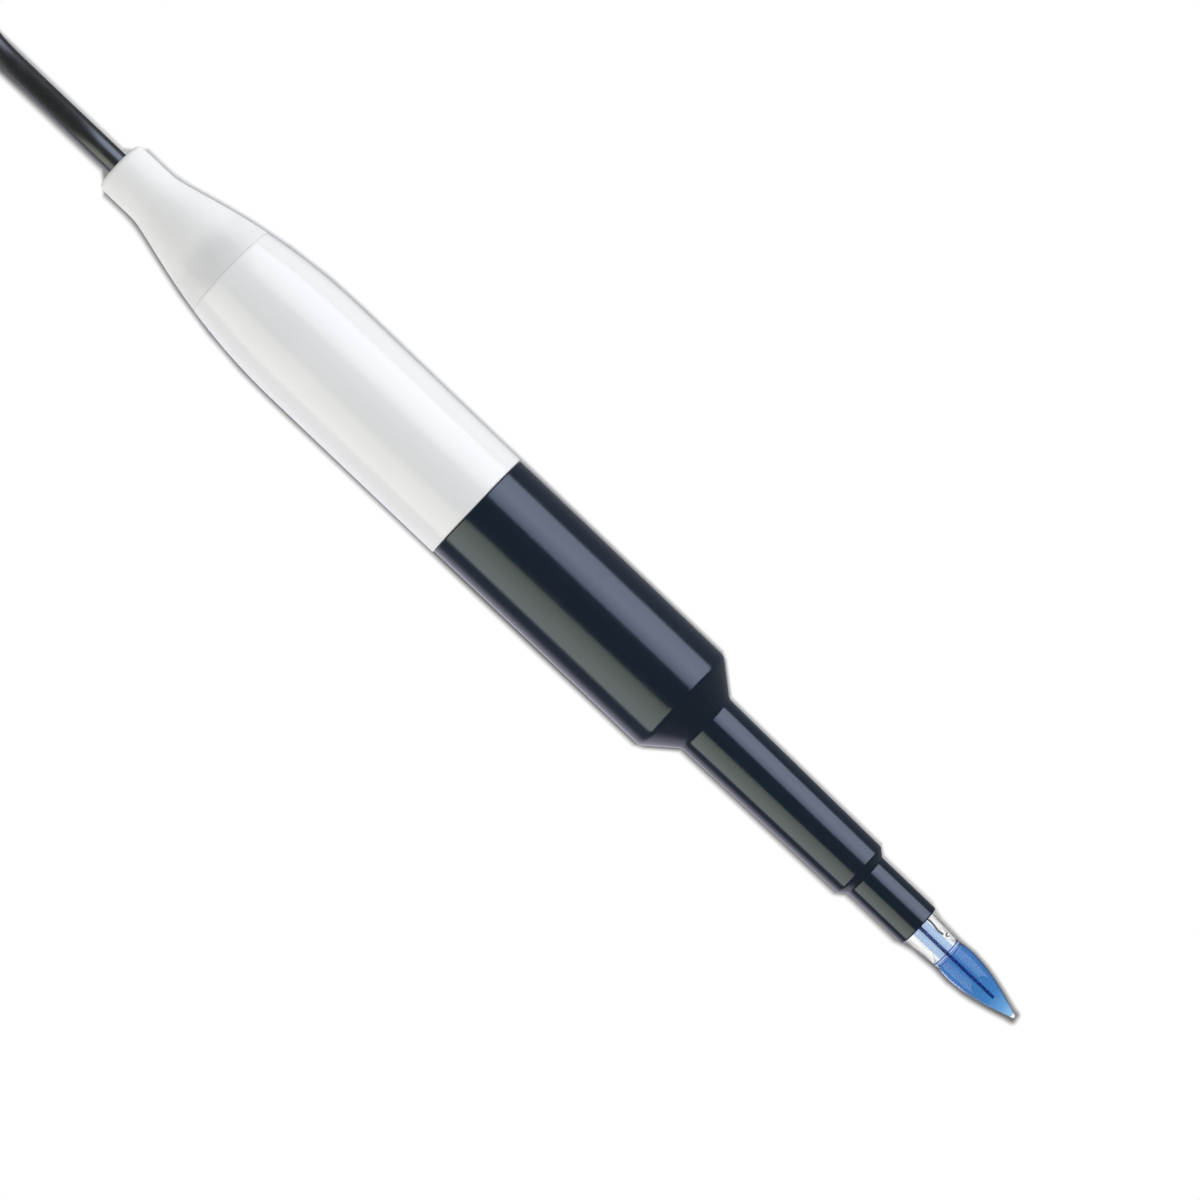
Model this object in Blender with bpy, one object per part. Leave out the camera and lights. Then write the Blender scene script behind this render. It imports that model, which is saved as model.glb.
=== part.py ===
"""Combination pH electrode with a plastic body and a one metre cable, modelled in Blender.

The electrode lies along X, its glass tip towards +X and its cable towards -X, and rests on z = 0.
Units are metres. Every turned piece is one closed profile of (distance along X, radius) points that
is spun about the axis of the electrode or of its plug.
"""

import math

import bmesh
import bpy
from mathutils import Matrix, Vector

MM = 0.001

# Facets of the turned pieces. Pieces that fit closely share a count, so thin gaps stay open.
SEGMENTS = 32
GLASS_SEGMENTS = 24
PLUG_SEGMENTS = 24
SPLICE_SEGMENTS = 16
WIRE_SEGMENTS = 12
CURVE_STATIONS = 8
WELD = 1e-7

# Fits
SEAT_GAP = 0.3 * MM
SLIDE_GAP = 0.05 * MM
TURNING_GAP = 0.07 * MM
CABLE_GAP = 0.3 * MM

# Cap: glossy sleeve and matte strain relief, 60 mm together
CAP_LENGTH = 60.0 * MM
CAP_DIAMETER = 15.5 * MM
CAP_EDGE = 0.3 * MM
RELIEF_LENGTH = 18.7 * MM
NECK_DIAMETER = 7.1 * MM
NECK_LENGTH = 5.4 * MM
NECK_ROUND = 1.0 * MM
FLARE_LENGTH = 27.6 * MM
FLARE_START_PULL = 3.0 * MM
FLARE_END_PULL = 15.5 * MM
SPIGOT_DIAMETER = 6.0 * MM
SPIGOT_LENGTH = 8.7 * MM
CAP_BORE = 13.1 * MM
CAP_FLOOR = 4.0 * MM

# Body shell
BARREL_LENGTH = 34.2 * MM
BARREL_REAR_DIAMETER = 15.1 * MM
BARREL_DIAMETER = 15.0 * MM
CONE_LENGTH = 4.1 * MM
NARROW_LENGTH = 25.7 * MM
NARROW_REAR_DIAMETER = 8.3 * MM
NARROW_FRONT_DIAMETER = 7.7 * MM
STEP_LENGTH = 1.0 * MM
NOSE_LENGTH = 9.0 * MM
NOSE_DIAMETER = 6.0 * MM
NOSE_EDGE = 0.15 * MM
SHOULDER_EDGE = 0.4 * MM
PLUG_IN_LENGTH = 12.0 * MM
SHELL_BORE = 10.4 * MM
NARROW_BORE = 5.6 * MM
NOSE_BORE = 4.9 * MM
BORE_CONE_LENGTH = 4.0 * MM
BORE_CONE_SETBACK = 2.0 * MM

# O-ring of the shell in the cap
RING_SECTION = 0.9 * MM
RING_GROOVE_WIDTH = 1.3 * MM
RING_GROOVE_DEPTH = 0.95 * MM
RING_GROOVE_AT = 5.0 * MM
RING_ARC_POINTS = 8

# Glass
GLASS_SHOWN = 16.0 * MM
BULB_LENGTH = 10.9 * MM
BULB_RIM_DIAMETER = 4.0 * MM
BULB_BELLY_PULL = (4.2 * MM, 2.45 * MM)
BULB_POINT_PULL = (7.6 * MM, 1.9 * MM)
BULB_POINT_RADIUS = 0.25 * MM
BULB_WALL = 0.35 * MM
BULB_SOLID_POINT = 1.3 * MM
BULB_STATIONS = 9
FLANGE_THICKNESS = 0.6 * MM
TUBE_DIAMETER = 4.8 * MM
TUBE_WALL = 0.5 * MM
TUBE_REAR_FROM_JOINT = 10.5 * MM
STEM_DIAMETER = 1.8 * MM
STEM_WALL = 0.35 * MM
STEM_PAST_TUBE = 3.0 * MM
TRUMPET_LENGTH = 2.6 * MM
TRUMPET_STATIONS = 5
TRUMPET_CURVE = 2.4

# Electrolytes and wires
GEL_AIR_SPACE = 12.0 * MM
WIRE_DIAMETER = 0.4 * MM
WIRE_END_FROM_TIP = 3.6 * MM
REFERENCE_WIRE_DIAMETER = 0.26 * MM
REFERENCE_WIRE_OFFSET = 1.33 * MM
REFERENCE_LEAD_OFFSET = 2.4 * MM
REFERENCE_WIRE_WAVE = 0.1 * MM
REFERENCE_WIRE_WAVE_LENGTH = 2.6 * MM
WAVE_STATIONS = 14
JUNCTION_DIAMETER = 0.5 * MM
JUNCTION_FROM_FLANGE = 1.4 * MM
JUNCTION_ANGLE = math.radians(56.0)
WIRE_CHANNEL_GAP = 0.12 * MM

# Stopper, collar, seal and potting
STOPPER_FLANGE = 2.0 * MM
STOPPER_DEPTH = 4.0 * MM
STEM_PLUG_DEPTH = 3.0 * MM
STEM_PLUG_HEAD = 1.0 * MM
COLLAR_LENGTH = 4.0 * MM
COLLAR_SETBACK = 1.0 * MM
SEAL_LENGTH = 4.0 * MM
POTTING_CLEARANCE = 2.0 * MM
POTTING_SETBACK = 0.5 * MM

# Leads and crimps
SIGNAL_LEAD_DIAMETER = 1.2 * MM
SHIELD_LEAD_DIAMETER = 0.8 * MM
SHIELD_LEAD_AT_CABLE = 1.07 * MM
SHIELD_LEAD_SPREAD = 8.0 * MM
SPLICE_LENGTH = 5.0 * MM
SPLICE_WALL = 0.35 * MM
SPLICE_FROM_STEM = 2.0 * MM
CLAMP_LENGTH = 3.0 * MM
CLAMP_DIAMETER = 5.0 * MM
CLAMP_GAP = 0.15 * MM
JACKET_PAST_CLAMP = 1.5 * MM

# Cable
CABLE_DIAMETER = 3.0 * MM
CABLE_POINT_SPACING = 6.0 * MM
FLOOR_CLEARANCE = 0.1 * MM
HANK_FROM_CAP = 29.0 * MM
HANK_LOBE_RADIUS = 13.8 * MM
HANK_LOBE_CENTRE = 14.4 * MM
HANK_WAIST = 9.4 * MM
HANK_LAYERS = 4
HANK_ARC_STEPS = 14
TIE_WIDTH = 5.0 * MM
TIE_THICKNESS = 0.9 * MM
TIE_CORNER = 0.6 * MM
TIE_CORNER_STEPS = 5
TIE_HEAD_SIZE = (6.4 * MM, 5.2 * MM, 3.4 * MM)
TIE_HEAD_SIDE = 3.5 * MM
TIE_HEAD_EDGE = 0.5 * MM
TIE_END_LENGTH = 6.0 * MM

# Plug, measured from the front rim of its coupling nut
PLUG_FROM_HANK = 50.6 * MM
PLUG_SIDE = 6.0 * MM
NUT_LENGTH = 14.4 * MM
NUT_DIAMETER = 14.5 * MM
NUT_FRONT_DIAMETER = 13.0 * MM
NUT_FRONT_LENGTH = 8.0 * MM
NUT_EDGE = 0.4 * MM
NUT_BORE = 9.8 * MM
NUT_COLLAR = 3.0 * MM
NUT_FLUTES = 24
NUT_FLUTE_DEPTH = 0.35 * MM
SLOT_WIDTH = 2.3 * MM
SLOT_DEPTH = 1.0 * MM
SLOT_ENTRY = 3.4 * MM
SLOT_RISE = 4.0 * MM
SLOT_TURN = math.radians(80.0)
SLOT_STATIONS = 8
SLOT_END_DIAMETER = 3.0 * MM
BODY_SET_BACK = 1.2 * MM
BODY_SLEEVE_DIAMETER = 8.1 * MM
BODY_BORE = 6.6 * MM
BODY_BARREL_DIAMETER = 8.4 * MM
BODY_LENGTH = 16.8 * MM
BODY_REAR_WALL = 1.0 * MM
FLANGE_AT = 8.6 * MM
FLANGE_WIDTH = 1.2 * MM
FLANGE_CLEARANCE = 0.1 * MM
CRIMP_STEM_LENGTH = 7.0 * MM
CRIMP_STEM_DIAMETER = 3.5 * MM
CORE_DIAMETER = 2.0 * MM
FINGER_SLIT_WIDTH = 0.5 * MM
FINGER_SLIT_LENGTH = 5.2 * MM
GASKET_WIDTH = 1.0 * MM
WASHER_THICKNESS = 0.3 * MM
WASHER_WAVES = 3
CLIP_THICKNESS = 0.6 * MM
CLIP_DEPTH = 0.5 * MM
CLIP_DIAMETER = 9.4 * MM
CLIP_OPENING = math.radians(50.0)
PIN_DIAMETER = 1.35 * MM
PIN_FRONT = 0.8 * MM
PIN_SHANK_DIAMETER = 2.2 * MM
PIN_SHANK_AT = 7.8 * MM
INSULATOR_FRONT = 3.2 * MM
FERRULE_LENGTH = 9.3 * MM
FERRULE_WALL = 0.9 * MM
PLUG_BOOT_LENGTH = 22.6 * MM
PLUG_BOOT_FRONT_DIAMETER = 8.4 * MM
PLUG_BOOT_REAR_DIAMETER = 5.2 * MM
PLUG_BOOT_RIBS = 4
PLUG_BOOT_RIB_DEPTH = 0.55 * MM

# Places along X that follow from the sizes
SHELL_LENGTH = BARREL_LENGTH + CONE_LENGTH + NARROW_LENGTH + STEP_LENGTH + NOSE_LENGTH
TOTAL_LENGTH = CAP_LENGTH + SHELL_LENGTH + GLASS_SHOWN
TIP_X = TOTAL_LENGTH / 2
CAP_END_X = -TOTAL_LENGTH / 2
SEAM_X = CAP_END_X + RELIEF_LENGTH
JOINT_X = CAP_END_X + CAP_LENGTH
SHOULDER_X = JOINT_X + BARREL_LENGTH
CONE_END_X = SHOULDER_X + CONE_LENGTH
STEP_X = CONE_END_X + NARROW_LENGTH
NOSE_X = STEP_X + STEP_LENGTH
SHELL_END_X = NOSE_X + NOSE_LENGTH
RIM_X = TIP_X - BULB_LENGTH
FLANGE_X = RIM_X - FLANGE_THICKNESS
TUBE_REAR_X = JOINT_X + TUBE_REAR_FROM_JOINT
STEM_REAR_X = TUBE_REAR_X - STOPPER_FLANGE - STEM_PAST_TUBE
SHELL_REAR_X = JOINT_X - PLUG_IN_LENGTH
CAP_FLOOR_X = SEAM_X + CAP_FLOOR
JACKET_END_X = CAP_FLOOR_X + CLAMP_LENGTH + JACKET_PAST_CLAMP
LEAD_REAR_X = JACKET_END_X + SEAT_GAP
SPLICE_FRONT_X = STEM_REAR_X - STEM_PLUG_HEAD - SPLICE_FROM_STEM
SPLICE_MIDDLE_X = SPLICE_FRONT_X - SPLICE_LENGTH / 2
JUNCTION_X = FLANGE_X - JUNCTION_FROM_FLANGE

FLAT = math.cos(math.pi / SEGMENTS)
AXIS_Z = CAP_DIAMETER / 2 * FLAT

HANK_NEAR_X = CAP_END_X - HANK_FROM_CAP
HANK_CENTRE_X = HANK_NEAR_X - HANK_LOBE_RADIUS - HANK_LOBE_CENTRE
HANK_FAR_X = HANK_CENTRE_X - HANK_LOBE_CENTRE - HANK_LOBE_RADIUS
HANK_HEIGHT = HANK_LAYERS * CABLE_DIAMETER + TIE_THICKNESS + SEAT_GAP
PLUG_FRONT_X = HANK_FAR_X - PLUG_FROM_HANK
PLUG_Z = NUT_DIAMETER / 2 + FLOOR_CLEARANCE
BODY_REAR = BODY_SET_BACK + BODY_LENGTH
CRIMP_END = BODY_REAR + CRIMP_STEM_LENGTH
PLUG_BOOT_FRONT = BODY_REAR + SEAT_GAP
PLUG_BOOT_REAR = PLUG_BOOT_FRONT + PLUG_BOOT_LENGTH
PLUG_JACKET_END = CRIMP_END + SEAT_GAP

ELECTRODE_AXIS = Vector((0.0, 0.0, AXIS_Z))
PLUG_AXIS = Vector((0.0, PLUG_SIDE, PLUG_Z))


def clear_scene():
    """Removes every object of the open scene."""
    for thing in list(bpy.data.objects):
        bpy.data.objects.remove(thing, do_unlink=True)


def finish(name, colour, roughness, metallic=0.0, transmission=0.0):
    """Makes a material with one Principled BSDF from a linear colour."""
    material = bpy.data.materials.new(name)
    material.use_nodes = True
    shader = material.node_tree.nodes["Principled BSDF"]
    shader.inputs["Base Color"].default_value = (*colour, 1.0)
    shader.inputs["Roughness"].default_value = roughness
    shader.inputs["Metallic"].default_value = metallic
    shader.inputs["Transmission Weight"].default_value = transmission
    return material


def add_object(name, mesh_data, material):
    """Links an object for the mesh or curve data, with its material."""
    thing = bpy.data.objects.new(name, mesh_data)
    bpy.context.collection.objects.link(thing)
    mesh_data.materials.append(material)
    return thing


def face_outwards(shape):
    """Turns every face of a closed bmesh outwards."""
    bmesh.ops.recalc_face_normals(shape, faces=shape.faces)
    if shape.calc_volume(signed=True) < 0:
        bmesh.ops.reverse_faces(shape, faces=shape.faces)


def solid(name, shape, material):
    """Turns a bmesh into a named object with outward faces and smooth sides."""
    face_outwards(shape)
    data = bpy.data.meshes.new(name)
    shape.to_mesh(data)
    shape.free()
    data.shade_smooth()
    data.set_sharp_from_angle(angle=math.radians(30.0))
    return add_object(name, data, material)


def spun(profile, segments, sweep=math.tau):
    """Spins a closed (x, radius) profile about X and returns the bmesh."""
    shape = bmesh.new()
    ring = [shape.verts.new((x, 0.0, radius)) for x, radius in profile]
    pairs = zip(ring, ring[1:] + ring[:1])
    edges = [shape.edges.new(pair) for pair in pairs if max(v.co.z for v in pair) > WELD]
    whole = sweep == math.tau
    ends = [] if whole else [shape.faces.new(ring)]
    made = bmesh.ops.spin(
        shape,
        geom=ring + edges,
        cent=(0.0, 0.0, 0.0),
        axis=(1.0, 0.0, 0.0),
        angle=sweep,
        steps=segments,
        use_merge=whole,
    )
    if ends:
        last = [part for part in made["geom_last"] if isinstance(part, bmesh.types.BMVert)]
        shape.faces.new(sorted(last, key=lambda v: v.index))
    bmesh.ops.remove_doubles(shape, verts=shape.verts, dist=WELD)
    bmesh.ops.rotate(shape, verts=shape.verts, matrix=Matrix.Rotation(math.pi / segments, 3, "X"))
    return shape


def turned(name, profile, material, axis=ELECTRODE_AXIS, segments=SEGMENTS):
    """Makes a turned piece on an axis that runs along X."""
    piece = solid(name, spun(profile, segments), material)
    piece.location = axis
    return piece


def glass_turned(name, profile, material):
    """Makes a turned piece of the glass group on the electrode's axis."""
    return turned(name, profile, material, segments=GLASS_SEGMENTS)


def cutter(name, shape, location):
    """Makes a hidden wire object that only cuts."""
    face_outwards(shape)
    data = bpy.data.meshes.new(name)
    shape.to_mesh(data)
    shape.free()
    thing = bpy.data.objects.new(name, data)
    bpy.context.collection.objects.link(thing)
    thing.location = location
    thing.hide_render = True
    thing.display_type = "WIRE"
    return thing


def cut(piece, tool, operation="DIFFERENCE"):
    """Adds an exact Boolean with a hidden object to the piece, a difference unless told otherwise."""
    modifier = piece.modifiers.new(tool.name, "BOOLEAN")
    modifier.operation = operation
    modifier.solver = "EXACT"
    modifier.object = tool


def bezier(start, start_pull, end_pull, end, share):
    """Point of a cubic Bezier curve at a share from 0 to 1."""
    rest = 1.0 - share
    weights = (rest**3, 3 * rest**2 * share, 3 * rest * share**2, share**3)
    points = (start, start_pull, end_pull, end)
    return tuple(sum(w * p[i] for w, p in zip(weights, points)) for i in range(2))


def flare_radius(distance):
    """Outer radius of the cap at a distance from its cable end."""
    neck = NECK_DIAMETER / 2
    full = CAP_DIAMETER / 2
    flare_end = NECK_LENGTH + FLARE_LENGTH
    if distance <= NECK_LENGTH:
        return neck
    if distance >= flare_end:
        return full
    start = (NECK_LENGTH, neck)
    start_pull = (NECK_LENGTH + FLARE_START_PULL, neck)
    end_pull = (flare_end - FLARE_END_PULL, full)
    low, high = 0.0, 1.0
    for _ in range(40):
        middle = (low + high) / 2
        if bezier(start, start_pull, end_pull, (flare_end, full), middle)[0] < distance:
            low = middle
        else:
            high = middle
    return bezier(start, start_pull, end_pull, (flare_end, full), low)[1]


def flare_points(first, last, count):
    """Profile points of the cap's outside between two distances from its cable end."""
    distances = [first + (last - first) * i / count for i in range(count + 1)]
    return [(CAP_END_X + d, flare_radius(d)) for d in distances]


def strain_relief_boot(material):
    """Matte boot that is pushed over the cap's spigot."""
    bore = CABLE_DIAMETER / 2 + CABLE_GAP
    recess = SPIGOT_DIAMETER / 2 + SLIDE_GAP
    recess_x = SEAM_X - SPIGOT_LENGTH - SEAT_GAP
    neck = NECK_DIAMETER / 2
    arc = [
        (
            CAP_END_X + NECK_ROUND * (1 - math.cos(angle)),
            neck - NECK_ROUND * (1 - math.sin(angle)),
        )
        for angle in (0.0, math.pi / 6, math.pi / 3)
    ]
    outside = arc + [(CAP_END_X + NECK_ROUND, neck)]
    outside += flare_points(NECK_LENGTH, RELIEF_LENGTH, CURVE_STATIONS)
    inside = [(SEAM_X, recess), (recess_x, recess), (recess_x, bore), (CAP_END_X, bore)]
    return turned("strain_relief_boot", outside + inside, material)


def cap_sleeve(material):
    """Glossy cap with a spigot for the boot at its rear and a bore for the shell."""
    bore = CAP_BORE / 2
    hole = CABLE_DIAMETER / 2 + CABLE_GAP
    spigot = SPIGOT_DIAMETER / 2
    spigot_x = SEAM_X - SPIGOT_LENGTH
    flare = flare_points(RELIEF_LENGTH, NECK_LENGTH + FLARE_LENGTH, CURVE_STATIONS)
    outside = [(spigot_x, spigot), (SEAM_X, spigot)] + flare
    outside += [(JOINT_X - CAP_EDGE, CAP_DIAMETER / 2), (JOINT_X, CAP_DIAMETER / 2 - CAP_EDGE)]
    wall = CAP_DIAMETER / 2 - bore
    inner = flare_points(RELIEF_LENGTH + CAP_FLOOR, NECK_LENGTH + FLARE_LENGTH, 3)
    inside = [(JOINT_X, bore)] + [(x, radius - wall) for x, radius in reversed(inner)]
    inside += [(CAP_FLOOR_X, hole), (spigot_x, hole)]
    return turned("cap_sleeve", outside + inside, material)


def barrel_groove():
    """Profile points of the O-ring groove, from the shell's rear towards the joint."""
    spigot = CAP_BORE / 2 - SLIDE_GAP
    start = SHELL_REAR_X + RING_GROOVE_AT
    end = start + RING_GROOVE_WIDTH
    floor = spigot - RING_GROOVE_DEPTH
    return [(start, spigot), (start, floor), (end, floor), (end, spigot)]


def body_shell(material):
    """Stepped shell: spigot with groove, barrel, cone, narrow section and nose."""
    spigot = CAP_BORE / 2 - SLIDE_GAP
    outside = [(SHELL_REAR_X, spigot)] + barrel_groove() + [(JOINT_X, spigot)]
    outside += [
        (JOINT_X, BARREL_REAR_DIAMETER / 2),
        (SHOULDER_X - SHOULDER_EDGE, BARREL_DIAMETER / 2),
        (SHOULDER_X, BARREL_DIAMETER / 2 - SHOULDER_EDGE),
        (CONE_END_X, NARROW_REAR_DIAMETER / 2),
        (STEP_X, NARROW_FRONT_DIAMETER / 2),
        (NOSE_X, NOSE_DIAMETER / 2),
        (SHELL_END_X - NOSE_EDGE, NOSE_DIAMETER / 2),
        (SHELL_END_X, NOSE_DIAMETER / 2 - NOSE_EDGE),
    ]
    cone_start = SHOULDER_X - BORE_CONE_SETBACK
    inside = [
        (SHELL_END_X, NOSE_BORE / 2),
        (NOSE_X, NOSE_BORE / 2),
        (NOSE_X, NARROW_BORE / 2),
        (cone_start + BORE_CONE_LENGTH, NARROW_BORE / 2),
        (cone_start, SHELL_BORE / 2),
        (SHELL_REAR_X, SHELL_BORE / 2),
    ]
    return turned("body_shell", outside + inside, material)


def shell_o_ring(material):
    """Rubber ring in the groove of the shell's spigot."""
    radius = RING_SECTION / 2
    centre_x = SHELL_REAR_X + RING_GROOVE_AT + RING_GROOVE_WIDTH / 2
    centre_r = CAP_BORE / 2 - SLIDE_GAP / 2 - radius
    angles = [math.tau * i / RING_ARC_POINTS for i in range(RING_ARC_POINTS)]
    ring = [(centre_x - radius * math.cos(a), centre_r + radius * math.sin(a)) for a in angles]
    return turned("shell_o_ring", ring, material)


def tube_radius(x):
    """Outer radius of the outer glass tube: straight in the shell, tapered to the flange."""
    if x <= SHELL_END_X:
        return TUBE_DIAMETER / 2
    share = (x - SHELL_END_X) / (FLANGE_X - SHELL_END_X)
    return TUBE_DIAMETER / 2 + share * (BULB_RIM_DIAMETER - TUBE_DIAMETER) / 2


def outer_glass_tube(material):
    """Clear tube from inside the shell to the flange, with a hole for the junction."""
    stations = [TUBE_REAR_X, SHELL_END_X, (SHELL_END_X + FLANGE_X) / 2, FLANGE_X]
    outside = [(x, tube_radius(x)) for x in stations]
    inside = [(x, tube_radius(x) - TUBE_WALL) for x in reversed(stations)]
    tube = glass_turned("outer_glass_tube", outside + inside, material)
    hole = radial_rod(JUNCTION_DIAMETER / 2 + SLIDE_GAP, WIRE_DIAMETER, TUBE_DIAMETER)
    cut(tube, cutter("junction_hole_cutter", hole, ELECTRODE_AXIS))
    return tube


def radial_rod(radius, start, end):
    """Rod that points away from the axis at the junction's place, between two radii."""
    shape = bmesh.new()
    bmesh.ops.create_cone(
        shape,
        cap_ends=True,
        segments=WIRE_SEGMENTS,
        radius1=radius,
        radius2=radius,
        depth=end - start,
    )
    lift = Matrix.Translation((JUNCTION_X, 0.0, (start + end) / 2))
    shape.transform(Matrix.Rotation(-JUNCTION_ANGLE, 4, "X") @ lift)
    return shape


def junction_frit(material):
    """Porous ceramic pin in the side of the outer tube, the liquid junction."""
    wall_out = tube_radius(JUNCTION_X)
    shape = radial_rod(JUNCTION_DIAMETER / 2, wall_out - TUBE_WALL, wall_out)
    frit = solid("junction_frit", shape, material)
    frit.location = ELECTRODE_AXIS
    return frit


def trumpet(x, start, end):
    """Radius of the stem's flared end at x, growing from start to end at the flange."""
    share = min(1.0, max(0.0, (x - FLANGE_X + TRUMPET_LENGTH) / TRUMPET_LENGTH))
    return start + (end - start) * share**TRUMPET_CURVE


def trumpet_stations():
    """Places along X at which the flared end is shaped."""
    count = TRUMPET_STATIONS
    return [FLANGE_X - TRUMPET_LENGTH * (1 - i / count) for i in range(count + 1)]


def stem_outer(x):
    """Outer radius of the stem, inside the outer tube."""
    mouth = BULB_RIM_DIAMETER / 2 - TUBE_WALL - SLIDE_GAP
    return trumpet(x, STEM_DIAMETER / 2, mouth)


def stem_inner(x):
    """Inner radius of the stem."""
    mouth = BULB_RIM_DIAMETER / 2 - TUBE_WALL - SLIDE_GAP - STEM_WALL
    return trumpet(x, STEM_DIAMETER / 2 - STEM_WALL, mouth)


def inner_stem_tube(material):
    """Thin inner tube whose flared rim is fused between outer tube and bulb."""
    rim = BULB_RIM_DIAMETER / 2
    stations = trumpet_stations()
    outside = [(STEM_REAR_X, stem_outer(STEM_REAR_X))] + [(x, stem_outer(x)) for x in stations]
    outside += [(FLANGE_X, rim), (RIM_X, rim), (RIM_X, rim - BULB_WALL)]
    inside = [(x, stem_inner(x)) for x in reversed(stations)]
    inside += [(STEM_REAR_X, stem_inner(STEM_REAR_X))]
    return glass_turned("inner_stem_tube", outside + inside, material)


def bulb_profile(count):
    """Outer (distance from the rim, radius) points of the bulb without its round point."""
    rim = (0.0, BULB_RIM_DIAMETER / 2)
    point = (BULB_LENGTH - BULB_POINT_RADIUS, BULB_POINT_RADIUS)
    return [bezier(rim, BULB_BELLY_PULL, BULB_POINT_PULL, point, i / count) for i in range(count + 1)]


def bulb_cavity(offset):
    """Points of the bulb's inner wall moved inwards by an offset, ending on the axis."""
    end = BULB_LENGTH - BULB_SOLID_POINT - offset
    wall = BULB_WALL + offset
    inner = [(d, radius - wall) for d, radius in bulb_profile(BULB_STATIONS) if d < end - wall]
    return [(RIM_X + d, radius) for d, radius in inner] + [(RIM_X + end, 0.0)]


def sensing_bulb(material):
    """Bullet shaped membrane glass with a small solid point."""
    outside = [(RIM_X + d, radius) for d, radius in bulb_profile(BULB_STATIONS)]
    nose = BULB_POINT_RADIUS * math.sin(math.pi / 4)
    outside += [(TIP_X - BULB_POINT_RADIUS + nose, nose), (TIP_X, 0.0)]
    return glass_turned("sensing_bulb", outside + bulb_cavity(0.0)[::-1], material)


def buffer_gel(material):
    """Blue inner filling of bulb and stem, bored for the measuring wire."""
    rear = STEM_REAR_X + STEM_PLUG_DEPTH + GEL_AIR_SPACE
    channel = WIRE_DIAMETER / 2 + SLIDE_GAP
    wire_end = TIP_X - WIRE_END_FROM_TIP + SEAT_GAP
    outside = [(rear, stem_inner(rear) - SLIDE_GAP)]
    outside += [(x, stem_inner(x) - SLIDE_GAP) for x in trumpet_stations()]
    outside += bulb_cavity(SLIDE_GAP)
    inside = [(wire_end, 0.0), (wire_end, channel), (rear, channel)]
    return glass_turned("buffer_gel", outside + inside, material)


def beside_axis(x, offset):
    """Point at x that lies an offset away from the axis, on the reference wire's side."""
    side = Vector((0.0, math.sin(JUNCTION_ANGLE), math.cos(JUNCTION_ANGLE)))
    return ELECTRODE_AXIS + Vector((x, 0.0, 0.0)) + side * offset


def reference_route():
    """Centre line of the reference wire: straight to the shell's end, then slightly wavy."""
    end = JUNCTION_X - 2 * JUNCTION_DIAMETER
    bend = TUBE_REAR_X - STOPPER_FLANGE - SPLICE_FRONT_X
    places = [
        (SPLICE_MIDDLE_X + SEAT_GAP / 2, REFERENCE_LEAD_OFFSET),
        (SPLICE_FRONT_X + 0.2 * bend, REFERENCE_LEAD_OFFSET),
        (SPLICE_FRONT_X + 0.8 * bend, REFERENCE_WIRE_OFFSET),
    ]
    wave_start = SHELL_END_X - REFERENCE_WIRE_WAVE_LENGTH
    for i in range(WAVE_STATIONS + 1):
        x = wave_start + (end - wave_start) * i / WAVE_STATIONS
        phase = (x - wave_start) / REFERENCE_WIRE_WAVE_LENGTH * math.tau
        places.append((x, REFERENCE_WIRE_OFFSET + REFERENCE_WIRE_WAVE * math.sin(phase)))
    return [beside_axis(x, offset) for x, offset in places]


def tube(name, points, radius, material, resolution=2):
    """Makes a round cord, lead or wire along a list of points."""
    data = bpy.data.curves.new(name, "CURVE")
    data.dimensions = "3D"
    data.bevel_depth = radius
    data.bevel_resolution = resolution
    data.use_fill_caps = True
    spline = data.splines.new("POLY")
    spline.points.add(len(points) - 1)
    for target, point in zip(spline.points, points):
        target.co = (*point, 1.0)
    return add_object(name, data, material)


def channel_cutter(name, points, radius):
    """Hidden straight or wavy channel cutter along a list of points."""
    shape = bmesh.new()
    rings = []
    for point in points:
        angles = [math.tau * i / 8 for i in range(8)]
        ring = [(point[0], point[1] + radius * math.cos(a), point[2] + radius * math.sin(a)) for a in angles]
        rings.append([shape.verts.new(place) for place in ring])
    for near, far in zip(rings, rings[1:]):
        for i in range(8):
            shape.faces.new((near[i], near[(i + 1) % 8], far[(i + 1) % 8], far[i]))
    shape.faces.new(rings[0])
    shape.faces.new(rings[-1])
    return cutter(name, shape, (0.0, 0.0, 0.0))


def reference_gel(material, channel):
    """Clear electrolyte gel between stem and outer tube, open round the reference wire."""
    rear = TUBE_REAR_X + STOPPER_DEPTH + GEL_AIR_SPACE
    front = FLANGE_X - SEAT_GAP
    inset = TUBE_WALL + SLIDE_GAP
    outside = [(x, tube_radius(x) - inset) for x in (rear, SHELL_END_X, front)]
    inner = [x for x in reversed(trumpet_stations()) if x < front - SEAT_GAP]
    inside = [(front, stem_outer(front) + SLIDE_GAP)] + [(x, stem_outer(x) + SLIDE_GAP) for x in inner]
    inside += [(rear, stem_outer(rear) + SLIDE_GAP)]
    gel = glass_turned("reference_gel", outside + inside, material)
    cut(gel, channel)
    return gel


def rod_profile(start, end, radius):
    """Profile of a plain rod on the axis."""
    return [(start, 0.0), (start, radius), (end, radius), (end, 0.0)]


def sleeve_profile(start, end, bore, outside):
    """Profile of a plain sleeve between two radii."""
    return [(start, outside), (end, outside), (end, bore), (start, bore)]


def measuring_wire(material):
    """Chlorided silver wire on the axis, from its splice into the bulb."""
    start = SPLICE_MIDDLE_X + SEAT_GAP / 2
    end = TIP_X - WIRE_END_FROM_TIP
    profile = rod_profile(start, end, WIRE_DIAMETER / 2)
    return turned("measuring_wire", profile, material, segments=WIRE_SEGMENTS)


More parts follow.
